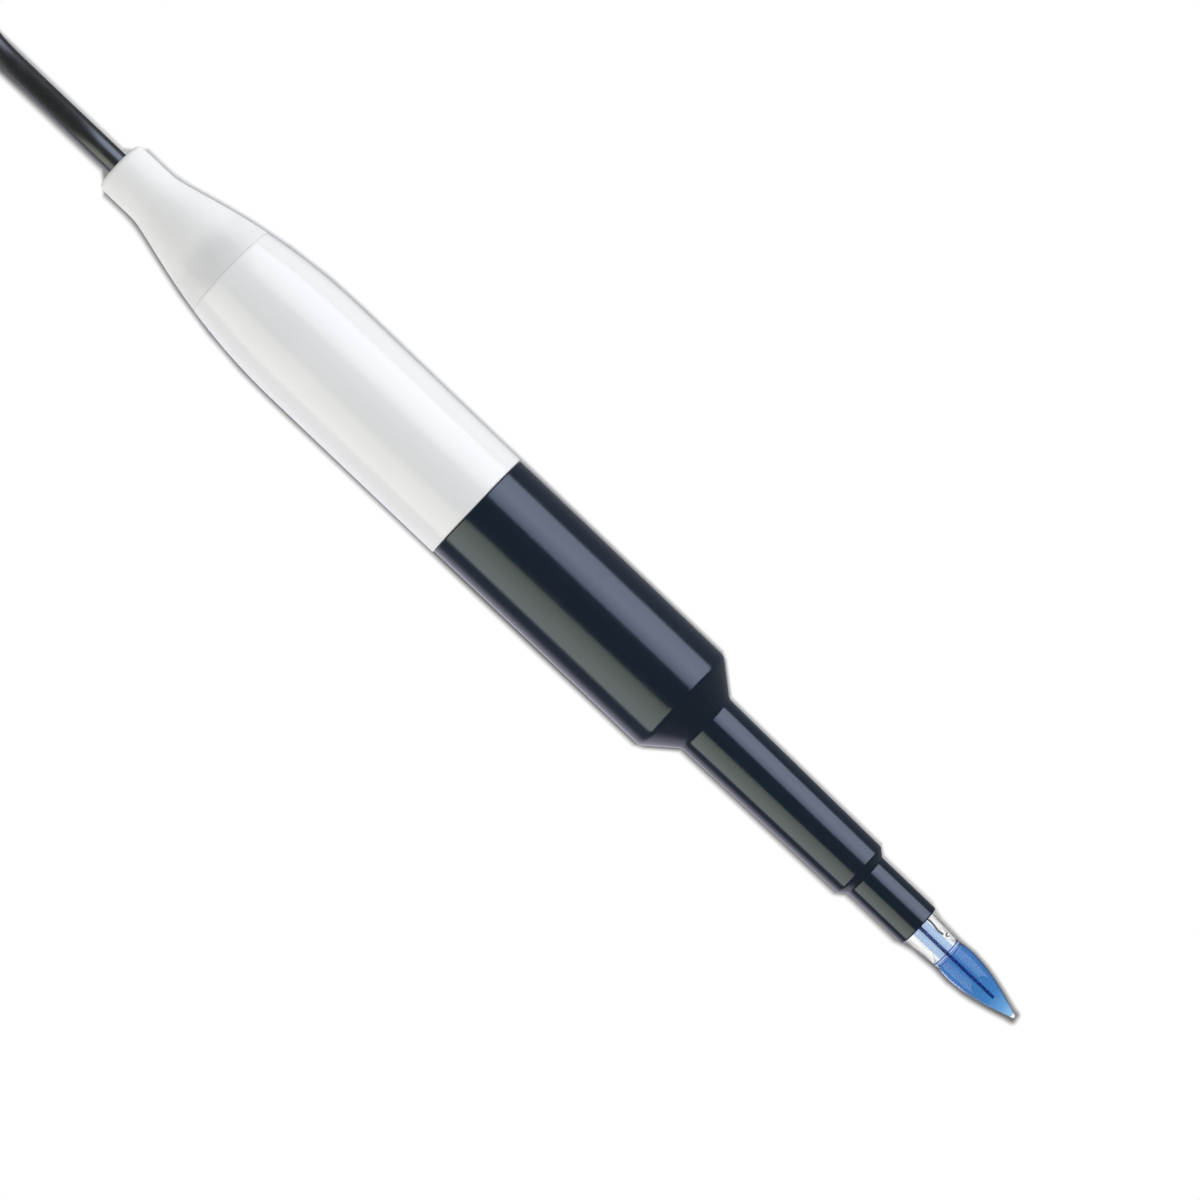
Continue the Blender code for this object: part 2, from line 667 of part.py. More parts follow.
def stem_plug(material):
    """Small plug with a head that closes the stem round the measuring wire."""
    channel = WIRE_DIAMETER / 2 + SLIDE_GAP
    head_x = STEM_REAR_X - STEM_PLUG_HEAD
    inner = stem_inner(STEM_REAR_X) - SLIDE_GAP
    profile = [
        (head_x, STEM_DIAMETER / 2),
        (STEM_REAR_X, STEM_DIAMETER / 2),
        (STEM_REAR_X, inner),
        (STEM_REAR_X + STEM_PLUG_DEPTH, inner),
        (STEM_REAR_X + STEM_PLUG_DEPTH, channel),
        (head_x, channel),
    ]
    return glass_turned("stem_plug", profile, material)


def tube_stopper(material, channel):
    """Rubber stopper in the rear of the outer tube, through which stem and wire pass."""
    bore = STEM_DIAMETER / 2 + SLIDE_GAP
    inner = TUBE_DIAMETER / 2 - TUBE_WALL - SLIDE_GAP
    profile = [
        (TUBE_REAR_X - STOPPER_FLANGE, TUBE_DIAMETER / 2),
        (TUBE_REAR_X, TUBE_DIAMETER / 2),
        (TUBE_REAR_X, inner),
        (TUBE_REAR_X + STOPPER_DEPTH, inner),
        (TUBE_REAR_X + STOPPER_DEPTH, bore),
        (TUBE_REAR_X - STOPPER_FLANGE, bore),
    ]
    stopper = glass_turned("tube_stopper", profile, material)
    cut(stopper, channel)
    return stopper


def centring_collar(material):
    """Collar that holds the rear of the glass in the middle of the shell."""
    start = TUBE_REAR_X + COLLAR_SETBACK
    bore = TUBE_DIAMETER / 2 + SLIDE_GAP
    outside = SHELL_BORE / 2 - SLIDE_GAP
    profile = sleeve_profile(start, start + COLLAR_LENGTH, bore, outside)
    return turned("centring_collar", profile, material)


def front_seal(material):
    """Silicone sleeve that seals the glass against the step of the shell's bore."""
    bore = TUBE_DIAMETER / 2 + SLIDE_GAP
    outside = NARROW_BORE / 2 - SLIDE_GAP
    profile = sleeve_profile(NOSE_X - SEAL_LENGTH, NOSE_X, bore, outside)
    return turned("front_seal", profile, material)


def shield_route():
    """Centre line of the shield lead from the cable's end to its splice."""
    places = [
        (LEAD_REAR_X, SHIELD_LEAD_AT_CABLE),
        (LEAD_REAR_X + 0.3 * SHIELD_LEAD_SPREAD, SHIELD_LEAD_AT_CABLE),
        (LEAD_REAR_X + SHIELD_LEAD_SPREAD, REFERENCE_LEAD_OFFSET),
        (SPLICE_MIDDLE_X - SEAT_GAP / 2, REFERENCE_LEAD_OFFSET),
    ]
    return [beside_axis(x, offset) for x, offset in places]


def splice_sleeve(name, lead_radius, axis, material):
    """Crimp sleeve that joins a lead to its wire."""
    bore = lead_radius + SLIDE_GAP
    profile = sleeve_profile(SPLICE_FRONT_X - SPLICE_LENGTH, SPLICE_FRONT_X, bore, bore + SPLICE_WALL)
    return turned(name, profile, material, axis=axis, segments=SPLICE_SEGMENTS)


def potting_plug(material, shield_channel):
    """Resin that fills the shell's rear round both leads."""
    start = SHELL_REAR_X + POTTING_SETBACK
    end = SPLICE_FRONT_X - SPLICE_LENGTH - POTTING_CLEARANCE
    bore = SIGNAL_LEAD_DIAMETER / 2 + SLIDE_GAP
    outside = SHELL_BORE / 2 - SLIDE_GAP
    plug = turned("potting_plug", sleeve_profile(start, end, bore, outside), material)
    cut(plug, shield_channel)
    return plug


def clamp_ring(material):
    """Crimp ring on the jacket that rests on the cap's inner floor and takes a pull."""
    bore = CABLE_DIAMETER / 2 + CLAMP_GAP
    profile = sleeve_profile(CAP_FLOOR_X, CAP_FLOOR_X + CLAMP_LENGTH, bore, CLAMP_DIAMETER / 2)
    return turned("cable_clamp_ring", profile, material)


def smooth_route(points, spacing):
    """Points at an even spacing along a smooth curve through the given ones."""
    padded = [2 * points[0] - points[1]] + points + [2 * points[-1] - points[-2]]
    dense = []
    for before, here, there, after in zip(padded, padded[1:], padded[2:], padded[3:]):
        for step in range(24):
            share = step / 24
            linear = (there - before) * share
            square = (2 * before - 5 * here + 4 * there - after) * share**2
            cube = (3 * here - 3 * there + after - before) * share**3
            dense.append(here + (linear + square + cube) / 2)
    dense.append(points[-1])
    lengths = [0.0]
    for here, there in zip(dense, dense[1:]):
        lengths.append(lengths[-1] + (there - here).length)
    count = max(2, round(lengths[-1] / spacing))
    route = []
    index = 0
    for step in range(count + 1):
        goal = lengths[-1] * step / count
        while index < len(lengths) - 2 and lengths[index + 1] < goal:
            index += 1
        span = lengths[index + 1] - lengths[index]
        share = (goal - lengths[index]) / span if span > 0 else 0.0
        route.append(dense[index].lerp(dense[index + 1], share))
    return route


def cable_lead(material):
    """Cable from the clamp through the boot, down to the floor and up to the hank."""
    floor = CABLE_DIAMETER / 2 + FLOOR_CLEARANCE
    places = [
        (JACKET_END_X, 0.0, AXIS_Z),
        ((JACKET_END_X + CAP_END_X) / 2, 0.0, AXIS_Z),
        (CAP_END_X, 0.0, AXIS_Z),
        (CAP_END_X - 5.0 * MM, 0.0, AXIS_Z - 0.3 * MM),
        (CAP_END_X - 11.0 * MM, 0.0, AXIS_Z - 2.3 * MM),
        (CAP_END_X - 17.0 * MM, 0.0, AXIS_Z - 4.7 * MM),
        (CAP_END_X - 20.5 * MM, 0.0, floor + 0.58 * MM),
        (CAP_END_X - 22.5 * MM, 0.15 * MM, floor + 0.28 * MM),
        (CAP_END_X - 25.0 * MM, 0.8 * MM, floor + 0.06 * MM),
        (CAP_END_X - 28.05 * MM, 2.39 * MM, floor),
    ]
    route = smooth_route([Vector(place) for place in places], CABLE_POINT_SPACING)
    return tube("cable_lead", route, CABLE_DIAMETER / 2, material)


def hank_outline():
    """Outline of the hank: two round lobes and two hollow arcs at its waist."""
    radius = HANK_LOBE_RADIUS
    reach = HANK_LOBE_CENTRE
    waist = (reach**2 + HANK_WAIST**2 - radius**2) / (2 * (radius - HANK_WAIST))
    height = HANK_WAIST + waist
    turn = math.asin(reach / (radius + waist))
    lobe = math.pi / 2 + turn
    steps = HANK_ARC_STEPS
    near = [-lobe + 2 * lobe * i / steps for i in range(steps + 1)]
    side = [turn - 2 * turn * i / 4 for i in range(1, 4)]
    quarter = [(reach + radius * math.cos(a), radius * math.sin(a)) for a in near]
    hollow = [(waist * math.sin(a), height - waist * math.cos(a)) for a in side]
    half = quarter + hollow
    return half + [(-x, -y) for x, y in half]


def cable_hank(material):
    """Outer shape of the tied hank, with a shallow groove where the tie passes below."""
    shape = bmesh.new()
    base = [shape.verts.new((x, y, FLOOR_CLEARANCE)) for x, y in hank_outline()]
    face = shape.faces.new(base)
    lifted = bmesh.ops.extrude_face_region(shape, geom=[face])
    top = [part for part in lifted["geom"] if isinstance(part, bmesh.types.BMVert)]
    bmesh.ops.translate(shape, verts=top, vec=(0.0, 0.0, HANK_HEIGHT))
    hank = solid("cable_hank", shape, material)
    hank.location = (HANK_CENTRE_X, 0.0, 0.0)
    groove = bmesh.new()
    depth = TIE_THICKNESS + 2 * SEAT_GAP
    size = Matrix.Diagonal((TIE_WIDTH + 2 * SEAT_GAP, 4 * HANK_WAIST, 2 * depth, 1.0))
    bmesh.ops.create_cube(groove, size=1.0, matrix=size)
    cut(hank, cutter("hank_groove_cutter", groove, (HANK_CENTRE_X, 0.0, 0.0)))
    return hank


def rounded_rectangle(half_width, low, high, corner):
    """Outline (y, z) of a rectangle with round corners."""
    centres = [
        (half_width - corner, high - corner, 0.0),
        (-half_width + corner, high - corner, math.pi / 2),
        (-half_width + corner, low + corner, math.pi),
        (half_width - corner, low + corner, 1.5 * math.pi),
    ]
    outline = []
    for y, z, start in centres:
        for step in range(TIE_CORNER_STEPS + 1):
            angle = start + math.pi / 2 * step / TIE_CORNER_STEPS
            outline.append((y + corner * math.cos(angle), z + corner * math.sin(angle)))
    return outline


def hank_tie(material):
    """Moulded tie round the hank's waist: band, locking head and the end that passed the head."""
    bow = HANK_WAIST + (TIE_WIDTH / 2) ** 2 / (2 * HANK_WAIST) + SEAT_GAP
    low = FLOOR_CLEARANCE + TIE_THICKNESS
    high = FLOOR_CLEARANCE + HANK_HEIGHT + SEAT_GAP
    inner = rounded_rectangle(bow, low, high, TIE_CORNER)
    outside_corner = TIE_CORNER + TIE_THICKNESS
    top = high + TIE_THICKNESS
    outer = rounded_rectangle(bow + TIE_THICKNESS, FLOOR_CLEARANCE, top, outside_corner)
    shape = bmesh.new()
    rings = []
    for x in (-TIE_WIDTH / 2, TIE_WIDTH / 2):
        for outline in (inner, outer):
            rings.append([shape.verts.new((x, y, z)) for y, z in outline])
    rear_in, rear_out, front_in, front_out = rings
    count = len(rear_in)
    for i in range(count):
        j = (i + 1) % count
        shape.faces.new((rear_in[i], rear_in[j], rear_out[j], rear_out[i]))
        shape.faces.new((front_in[i], front_in[j], front_out[j], front_out[i]))
        shape.faces.new((rear_in[i], rear_in[j], front_in[j], front_in[i]))
        shape.faces.new((rear_out[i], rear_out[j], front_out[j], front_out[i]))
    tie = solid("hank_tie", shape, material)
    tie.location = (HANK_CENTRE_X, 0.0, 0.0)
    width, depth, height = TIE_HEAD_SIZE
    head = bmesh.new()
    bmesh.ops.create_cube(head, size=1.0, matrix=Matrix.Diagonal((width, depth, height, 1.0)))
    bmesh.ops.bevel(
        head, geom=head.edges[:], offset=TIE_HEAD_EDGE, segments=2, affect="EDGES", profile=0.5
    )
    end = bmesh.new()
    end_size = Matrix.Diagonal((TIE_WIDTH, TIE_END_LENGTH, TIE_THICKNESS, 1.0))
    bmesh.ops.create_cube(end, size=1.0, matrix=end_size)
    seat = high + height / 2
    end_y = -TIE_HEAD_SIDE - (depth + TIE_END_LENGTH) / 2 + TIE_HEAD_EDGE
    end_z = high + height - TIE_THICKNESS
    for name, block, y, z in (
        ("tie_head_block", head, -TIE_HEAD_SIDE, seat),
        ("tie_end_block", end, end_y, end_z),
    ):
        cut(tie, cutter(name, block, (HANK_CENTRE_X, y, z)), "UNION")
    return tie


def cable_tail(material):
    """Cable from the hank's far end into the plug's boot."""
    strand_y = HANK_LOBE_RADIUS - CABLE_DIAMETER / 2
    strand_z = FLOOR_CLEARANCE + (HANK_LAYERS - 0.5) * CABLE_DIAMETER
    boot_x = PLUG_FRONT_X + PLUG_BOOT_REAR
    start_x = HANK_CENTRE_X - HANK_LOBE_CENTRE - 9.5 * MM
    places = [
        (start_x, strand_y, strand_z),
        (start_x - 4.0 * MM, strand_y - 0.7 * MM, strand_z - 0.3 * MM),
        ((start_x + boot_x) / 2 - 1.0 * MM, (strand_y + PLUG_SIDE) / 2, (strand_z + PLUG_Z) / 2),
        (boot_x + 3.0 * MM, PLUG_SIDE + 0.3 * MM, PLUG_Z + 0.1 * MM),
        (boot_x - 2.0 * MM, PLUG_SIDE, PLUG_Z),
        (PLUG_FRONT_X + PLUG_JACKET_END + 5.0 * MM, PLUG_SIDE, PLUG_Z),
        (PLUG_FRONT_X + PLUG_JACKET_END, PLUG_SIDE, PLUG_Z),
    ]
    route = smooth_route([Vector(place) for place in places], CABLE_POINT_SPACING)
    return tube("cable_tail", route, CABLE_DIAMETER / 2, material)


def plug_turned(name, profile, material, segments=PLUG_SEGMENTS):
    """Turned piece on the plug's axis; its profile starts at the nut's front rim."""
    piece = solid(name, spun(profile, segments), material)
    piece.location = PLUG_AXIS + Vector((PLUG_FRONT_X, 0.0, 0.0))
    return piece


def body_barrel_bore():
    """Bore radius of the nut's collar, which turns on the body's barrel."""
    return BODY_BARREL_DIAMETER / 2 + TURNING_GAP


def bayonet_ramp(start_angle):
    """Curved block that cuts one rising bayonet slot through the nut's wall."""
    shape = bmesh.new()
    inner = NUT_BORE / 2 - SLOT_DEPTH
    outer = NUT_DIAMETER
    rings = []
    for step in range(SLOT_STATIONS + 1):
        share = step / SLOT_STATIONS
        angle = start_angle + SLOT_TURN * share
        centre = SLOT_ENTRY - SLOT_WIDTH / 2 + SLOT_RISE * share
        ring = []
        for x, radius in (
            (centre - SLOT_WIDTH / 2, inner),
            (centre - SLOT_WIDTH / 2, outer),
            (centre + SLOT_WIDTH / 2, outer),
            (centre + SLOT_WIDTH / 2, inner),
        ):
            ring.append(shape.verts.new((x, radius * math.sin(angle), radius * math.cos(angle))))
        rings.append(ring)
    for near, far in zip(rings, rings[1:]):
        for i in range(4):
            j = (i + 1) % 4
            shape.faces.new((near[i], near[j], far[j], far[i]))
    shape.faces.new(rings[0])
    shape.faces.new(rings[-1])
    return shape


def bayonet_entry(start_angle):
    """Block that cuts the slot's straight entry into the nut's bore."""
    shape = bmesh.new()
    outer = NUT_BORE / 2 + SLOT_DEPTH
    inner = NUT_BORE / 2 - SLOT_DEPTH
    size = Matrix.Diagonal((2 * SLOT_ENTRY, SLOT_WIDTH, outer - inner, 1.0))
    turn = Matrix.Rotation(-start_angle, 4, "X")
    lift = Matrix.Translation((0.0, 0.0, (outer + inner) / 2))
    bmesh.ops.create_cube(shape, size=1.0, matrix=turn @ lift @ size)
    return shape


def bayonet_end(start_angle):
    """Rod that cuts the round end of the slot."""
    shape = bmesh.new()
    radius = SLOT_END_DIAMETER / 2
    bmesh.ops.create_cone(
        shape, cap_ends=True, segments=16, radius1=radius, radius2=radius, depth=NUT_DIAMETER
    )
    centre = SLOT_ENTRY - SLOT_WIDTH / 2 + SLOT_RISE
    inner = NUT_BORE / 2 - SLOT_DEPTH
    lift = Matrix.Translation((centre, 0.0, inner + NUT_DIAMETER / 2))
    shape.transform(Matrix.Rotation(-start_angle - SLOT_TURN, 4, "X") @ lift)
    return shape


def fluted(shape, start, end):
    """Presses flutes into the grip between two places along X, between its facets."""
    for vert in shape.verts:
        radius = math.hypot(vert.co.y, vert.co.z)
        if start < vert.co.x < end and radius > NUT_DIAMETER / 2 - WELD:
            angle = math.atan2(vert.co.y, vert.co.z)
            turn = round(angle / math.tau * 2 * NUT_FLUTES - 0.5)
            if turn % 2:
                vert.co.y *= 1 - NUT_FLUTE_DEPTH / radius
                vert.co.z *= 1 - NUT_FLUTE_DEPTH / radius


def bnc_coupling_nut(material):
    """Bayonet nut: smooth front with two slots, fluted grip and a turning collar."""
    radius = NUT_DIAMETER / 2
    front = NUT_FRONT_DIAMETER / 2
    collar_x = NUT_LENGTH - NUT_COLLAR
    grip_start = NUT_FRONT_LENGTH + NUT_EDGE
    profile = [
        (0.0, front - NUT_EDGE),
        (NUT_EDGE, front),
        (NUT_FRONT_LENGTH, front),
        (grip_start, radius),
        (NUT_LENGTH - NUT_EDGE, radius),
        (NUT_LENGTH, radius - NUT_EDGE),
        (NUT_LENGTH, body_barrel_bore()),
        (collar_x, body_barrel_bore()),
        (collar_x, NUT_BORE / 2),
        (0.0, NUT_BORE / 2),
    ]
    shape = spun(profile, 2 * NUT_FLUTES)
    fluted(shape, grip_start - WELD, NUT_LENGTH - NUT_EDGE + WELD)
    nut = solid("bnc_coupling_nut", shape, material)
    nut.location = PLUG_AXIS + Vector((PLUG_FRONT_X, 0.0, 0.0))
    for side, start_angle in (("near", math.radians(-40.0)), ("far", math.radians(140.0))):
        for kind, make in (("entry", bayonet_entry), ("ramp", bayonet_ramp), ("end", bayonet_end)):
            cut(nut, cutter(f"slot_{kind}_{side}_cutter", make(start_angle), nut.location))
    return nut


def bnc_body(material):
    """Plug body: contact sleeve, flange, barrel with clip groove, and crimp stem."""
    sleeve = BODY_SLEEVE_DIAMETER / 2
    barrel = BODY_BARREL_DIAMETER / 2
    bore = BODY_BORE / 2
    flange = NUT_BORE / 2 - FLANGE_CLEARANCE
    groove = NUT_LENGTH + SEAT_GAP
    groove_end = groove + CLIP_THICKNESS + 2 * SLIDE_GAP
    stem = CRIMP_STEM_DIAMETER / 2
    core = CORE_DIAMETER / 2 + SLIDE_GAP
    profile = [
        (BODY_SET_BACK, sleeve),
        (FLANGE_AT, sleeve),
        (FLANGE_AT, flange),
        (FLANGE_AT + FLANGE_WIDTH, flange),
        (FLANGE_AT + FLANGE_WIDTH, barrel),
        (groove, barrel),
        (groove, barrel - CLIP_DEPTH),
        (groove_end, barrel - CLIP_DEPTH),
        (groove_end, barrel),
        (BODY_REAR, barrel),
        (BODY_REAR, stem),
        (CRIMP_END, stem),
        (CRIMP_END, core),
        (BODY_REAR - BODY_REAR_WALL, core),
        (BODY_REAR - BODY_REAR_WALL, bore),
        (BODY_SET_BACK, bore),
    ]
    body = plug_turned("bnc_body", profile, material)
    slit_length = 2 * FINGER_SLIT_LENGTH
    for name, width, height in (
        ("slit_upright_cutter", FINGER_SLIT_WIDTH, 2 * BODY_SLEEVE_DIAMETER),
        ("slit_level_cutter", 2 * BODY_SLEEVE_DIAMETER, FINGER_SLIT_WIDTH),
    ):
        slit = bmesh.new()
        bmesh.ops.create_cube(slit, size=1.0, matrix=Matrix.Diagonal((slit_length, width, height, 1.0)))
        cut(body, cutter(name, slit, body.location + Vector((BODY_SET_BACK, 0.0, 0.0))))
    return body


def bnc_gasket(material):
    """Rubber ring in front of the body's flange."""
    bore = BODY_SLEEVE_DIAMETER / 2 + SLIDE_GAP
    outside = NUT_BORE / 2 - FLANGE_CLEARANCE
    profile = sleeve_profile(FLANGE_AT - GASKET_WIDTH, FLANGE_AT, bore, outside)
    return plug_turned("bnc_gasket", profile, material)


def bnc_spring_washer(material):
    """Wave washer between the body's flange and the nut's collar."""
    flange_rear = FLANGE_AT + FLANGE_WIDTH
    room = NUT_LENGTH - NUT_COLLAR - flange_rear
    swing = (room - WASHER_THICKNESS) / 2 - SLIDE_GAP
    middle = flange_rear + room / 2
    half = WASHER_THICKNESS / 2
    bore = BODY_BARREL_DIAMETER / 2 + SLIDE_GAP
    outside = NUT_BORE / 2 - 2 * FLANGE_CLEARANCE
    shape = spun(sleeve_profile(middle - half, middle + half, bore, outside), PLUG_SEGMENTS)
    for vert in shape.verts:
        vert.co.x += swing * math.cos(WASHER_WAVES * math.atan2(vert.co.y, vert.co.z))
    washer = solid("bnc_spring_washer", shape, material)
    washer.location = PLUG_AXIS + Vector((PLUG_FRONT_X, 0.0, 0.0))
    return washer


def bnc_retaining_ring(material):
    """Open clip in the groove behind the nut's collar."""
    start = NUT_LENGTH + SEAT_GAP + SLIDE_GAP
    bore = BODY_BARREL_DIAMETER / 2 - CLIP_DEPTH + SLIDE_GAP
    profile = sleeve_profile(start, start + CLIP_THICKNESS, bore, CLIP_DIAMETER / 2)
    shape = spun(profile, PLUG_SEGMENTS, sweep=math.tau - CLIP_OPENING)
    ring = solid("bnc_retaining_ring", shape, material)
    ring.location = PLUG_AXIS + Vector((PLUG_FRONT_X, 0.0, 0.0))
    return ring


def bnc_insulator(material):
    """Insulator inside the body, bored for the centre pin."""
    outside = BODY_BORE / 2 - SLIDE_GAP
    pin = PIN_DIAMETER / 2 + SLIDE_GAP
    shank = PIN_SHANK_DIAMETER / 2 + SLIDE_GAP
    rear = BODY_REAR - BODY_REAR_WALL
    profile = [
        (INSULATOR_FRONT, outside),
        (rear, outside),
        (rear, shank),
        (PIN_SHANK_AT, shank),
        (PIN_SHANK_AT, pin),
        (INSULATOR_FRONT, pin),
    ]
    return plug_turned("bnc_insulator", profile, material)


def bnc_centre_pin(material):
    """Centre contact with a round front end and a thicker crimp shank."""
    pin = PIN_DIAMETER / 2
    shank = PIN_SHANK_DIAMETER / 2
    rear = BODY_REAR - BODY_REAR_WALL - SEAT_GAP
    profile = [
        (PIN_FRONT, 0.0),
        (PIN_FRONT + pin * (1 - math.cos(math.pi / 4)), pin * math.sin(math.pi / 4)),
        (PIN_FRONT + pin, pin),
        (PIN_SHANK_AT + SLIDE_GAP, pin),
        (PIN_SHANK_AT + SLIDE_GAP, shank),
        (rear, shank),
        (rear, 0.0),
    ]
    return plug_turned("bnc_centre_pin", profile, material)


def cable_core(material):
    """Insulated core of the cable inside the plug's crimp stem."""
    start = BODY_REAR - BODY_REAR_WALL
    profile = rod_profile(start, PLUG_JACKET_END - SEAT_GAP, CORE_DIAMETER / 2)
    return plug_turned("cable_core", profile, material)


def bnc_ferrule(material):
    """Crimp sleeve over the stem and the end of the jacket."""
    bore = max(CRIMP_STEM_DIAMETER / 2 + SLIDE_GAP, CABLE_DIAMETER / 2 + CABLE_GAP)
    start = BODY_REAR + SLIDE_GAP
    profile = sleeve_profile(start, start + FERRULE_LENGTH, bore, bore + FERRULE_WALL)
    return plug_turned("bnc_crimp_ferrule", profile, material)


def bnc_boot(material):
    """Ribbed boot over ferrule and cable behind the plug's body."""
    bore = CABLE_DIAMETER / 2 + CABLE_GAP
    ferrule = max(CRIMP_STEM_DIAMETER / 2 + SLIDE_GAP, bore) + FERRULE_WALL + SLIDE_GAP
    ferrule_end = BODY_REAR + SLIDE_GAP + FERRULE_LENGTH + SEAT_GAP
    front = PLUG_BOOT_FRONT_DIAMETER / 2
    rear = PLUG_BOOT_REAR_DIAMETER / 2
    rib_start = ferrule_end
    pitch = (PLUG_BOOT_REAR - rib_start) / PLUG_BOOT_RIBS
    slope = (rear - front) / PLUG_BOOT_LENGTH
    outside = [(PLUG_BOOT_FRONT, front)]
    for rib in range(PLUG_BOOT_RIBS):
        start = rib_start + rib * pitch
        crest = front + slope * (start - PLUG_BOOT_FRONT)
        outside.append((start, crest))
        outside.append((start + 0.25 * pitch, crest - PLUG_BOOT_RIB_DEPTH))
        outside.append((start + 0.6 * pitch, crest + slope * 0.6 * pitch))
    outside.append((PLUG_BOOT_REAR, rear))
    inside = [
        (PLUG_BOOT_REAR, bore),
        (ferrule_end, bore),
        (ferrule_end, ferrule),
        (PLUG_BOOT_FRONT, ferrule),
    ]
    return plug_turned("bnc_boot", outside + inside, material)


def build_cap(white_gloss, white_matte, rubber):
    """Cap, boot and O-ring."""
    cap_sleeve(white_gloss)
    strain_relief_boot(white_matte)
    shell_o_ring(rubber)


def build_glass(glass, membrane, blue, clear_gel, silver, ceramic, silicone):
    """Glass electrode with its fillings, wires and rear closures."""
    outer_glass_tube(glass)
    inner_stem_tube(glass)
    sensing_bulb(membrane)
    junction_frit(ceramic)
    buffer_gel(blue)
    route = reference_route()
    tube("reference_wire", route, REFERENCE_WIRE_DIAMETER / 2, silver, resolution=1)
    ahead = Vector((2 * SEAT_GAP, 0.0, 0.0))
    radius = REFERENCE_WIRE_DIAMETER / 2 + WIRE_CHANNEL_GAP
    channel = channel_cutter("wire_channel_cutter", route + [route[-1] + ahead], radius)
    reference_gel(clear_gel, channel)
    tube_stopper(silicone, channel)
    measuring_wire(silver)
    stem_plug(silicone)


def build_leads(insulation, copper, resin):
    """Stripped leads of the cable and their crimps, inside cap and shell."""
    rod = rod_profile(LEAD_REAR_X, SPLICE_MIDDLE_X - SEAT_GAP / 2, SIGNAL_LEAD_DIAMETER / 2)
    turned("signal_lead", rod, insulation, segments=SPLICE_SEGMENTS)
    splice_sleeve("signal_splice", SIGNAL_LEAD_DIAMETER / 2, ELECTRODE_AXIS, copper)
    route = shield_route()
    tube("shield_lead", route, SHIELD_LEAD_DIAMETER / 2, insulation)
    beside = beside_axis(0.0, REFERENCE_LEAD_OFFSET)
    splice_sleeve("reference_splice", SHIELD_LEAD_DIAMETER / 2, beside, copper)
    radius = SHIELD_LEAD_DIAMETER / 2 + WIRE_CHANNEL_GAP
    potting_plug(resin, channel_cutter("lead_channel_cutter", route, radius))


def build_plug(nickel, gold, polymer, black, rubber, steel):
    """Coaxial plug on the cable's end."""
    bnc_coupling_nut(nickel)
    bnc_body(nickel)
    bnc_gasket(rubber)
    bnc_spring_washer(steel)
    bnc_retaining_ring(steel)
    bnc_insulator(polymer)
    bnc_centre_pin(gold)
    cable_core(polymer)
    bnc_ferrule(nickel)
    bnc_boot(black)


def main():
    """Builds the whole electrode."""
    clear_scene()
    white_gloss = finish("white_gloss", (0.82, 0.82, 0.84), 0.12)
    white_matte = finish("white_matte", (0.74, 0.73, 0.71), 0.55)
    shell_dark = finish("shell_dark", (0.012, 0.014, 0.022), 0.18)
    rubber = finish("black_rubber", (0.02, 0.02, 0.02), 0.6)
    jacket = finish("cable_jacket", (0.03, 0.03, 0.033), 0.4)
    glass = finish("clear_glass", (0.95, 0.97, 1.0), 0.02, transmission=1.0)
    membrane = finish("membrane_glass", (0.75, 0.85, 1.0), 0.02, transmission=1.0)
    blue = finish("blue_gel", (0.05, 0.25, 0.75), 0.1, transmission=0.6)
    clear_gel = finish("clear_gel", (0.9, 0.93, 0.95), 0.1, transmission=0.9)
    silver = finish("chlorided_silver", (0.05, 0.04, 0.09), 0.45, metallic=0.6)
    ceramic = finish("porous_ceramic", (0.85, 0.84, 0.8), 0.8)
    silicone = finish("silicone", (0.55, 0.5, 0.45), 0.5)
    nickel = finish("nickel_plate", (0.68, 0.67, 0.64), 0.2, metallic=1.0)
    gold = finish("gold_plate", (0.85, 0.6, 0.25), 0.2, metallic=1.0)
    polymer = finish("white_polymer", (0.85, 0.85, 0.83), 0.4)
    steel = finish("spring_steel", (0.5, 0.5, 0.5), 0.3, metallic=1.0)
    resin = finish("potting_resin", (0.04, 0.04, 0.045), 0.3)
    build_cap(white_gloss, white_matte, rubber)
    body_shell(shell_dark)
    build_glass(glass, membrane, blue, clear_gel, silver, ceramic, silicone)
    centring_collar(polymer)
    front_seal(silicone)
    clamp_ring(nickel)
    build_leads(polymer, nickel, resin)
    cable_lead(jacket)
    cable_hank(jacket)
    hank_tie(rubber)
    cable_tail(jacket)
    build_plug(nickel, gold, polymer, jacket, rubber, steel)
    bpy.context.view_layer.update()


if __name__ == "__main__":
    main()
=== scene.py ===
"""Looks of the combination pH electrode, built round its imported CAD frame.

The electrode lies along X with its glass tip towards +X. Shapes are worked out in millimetres in
the frame of the CAD and put into meshes in metres. Wire, Graph and Shader write node trees, a
Finish makes one material, and every other class is one sub-assembly or a part of the stage: it
holds its sizes, builds its surfaces and gives them their finishes.
"""

import logging
import math
from collections.abc import Callable, Sequence
from dataclasses import dataclass
from enum import Enum

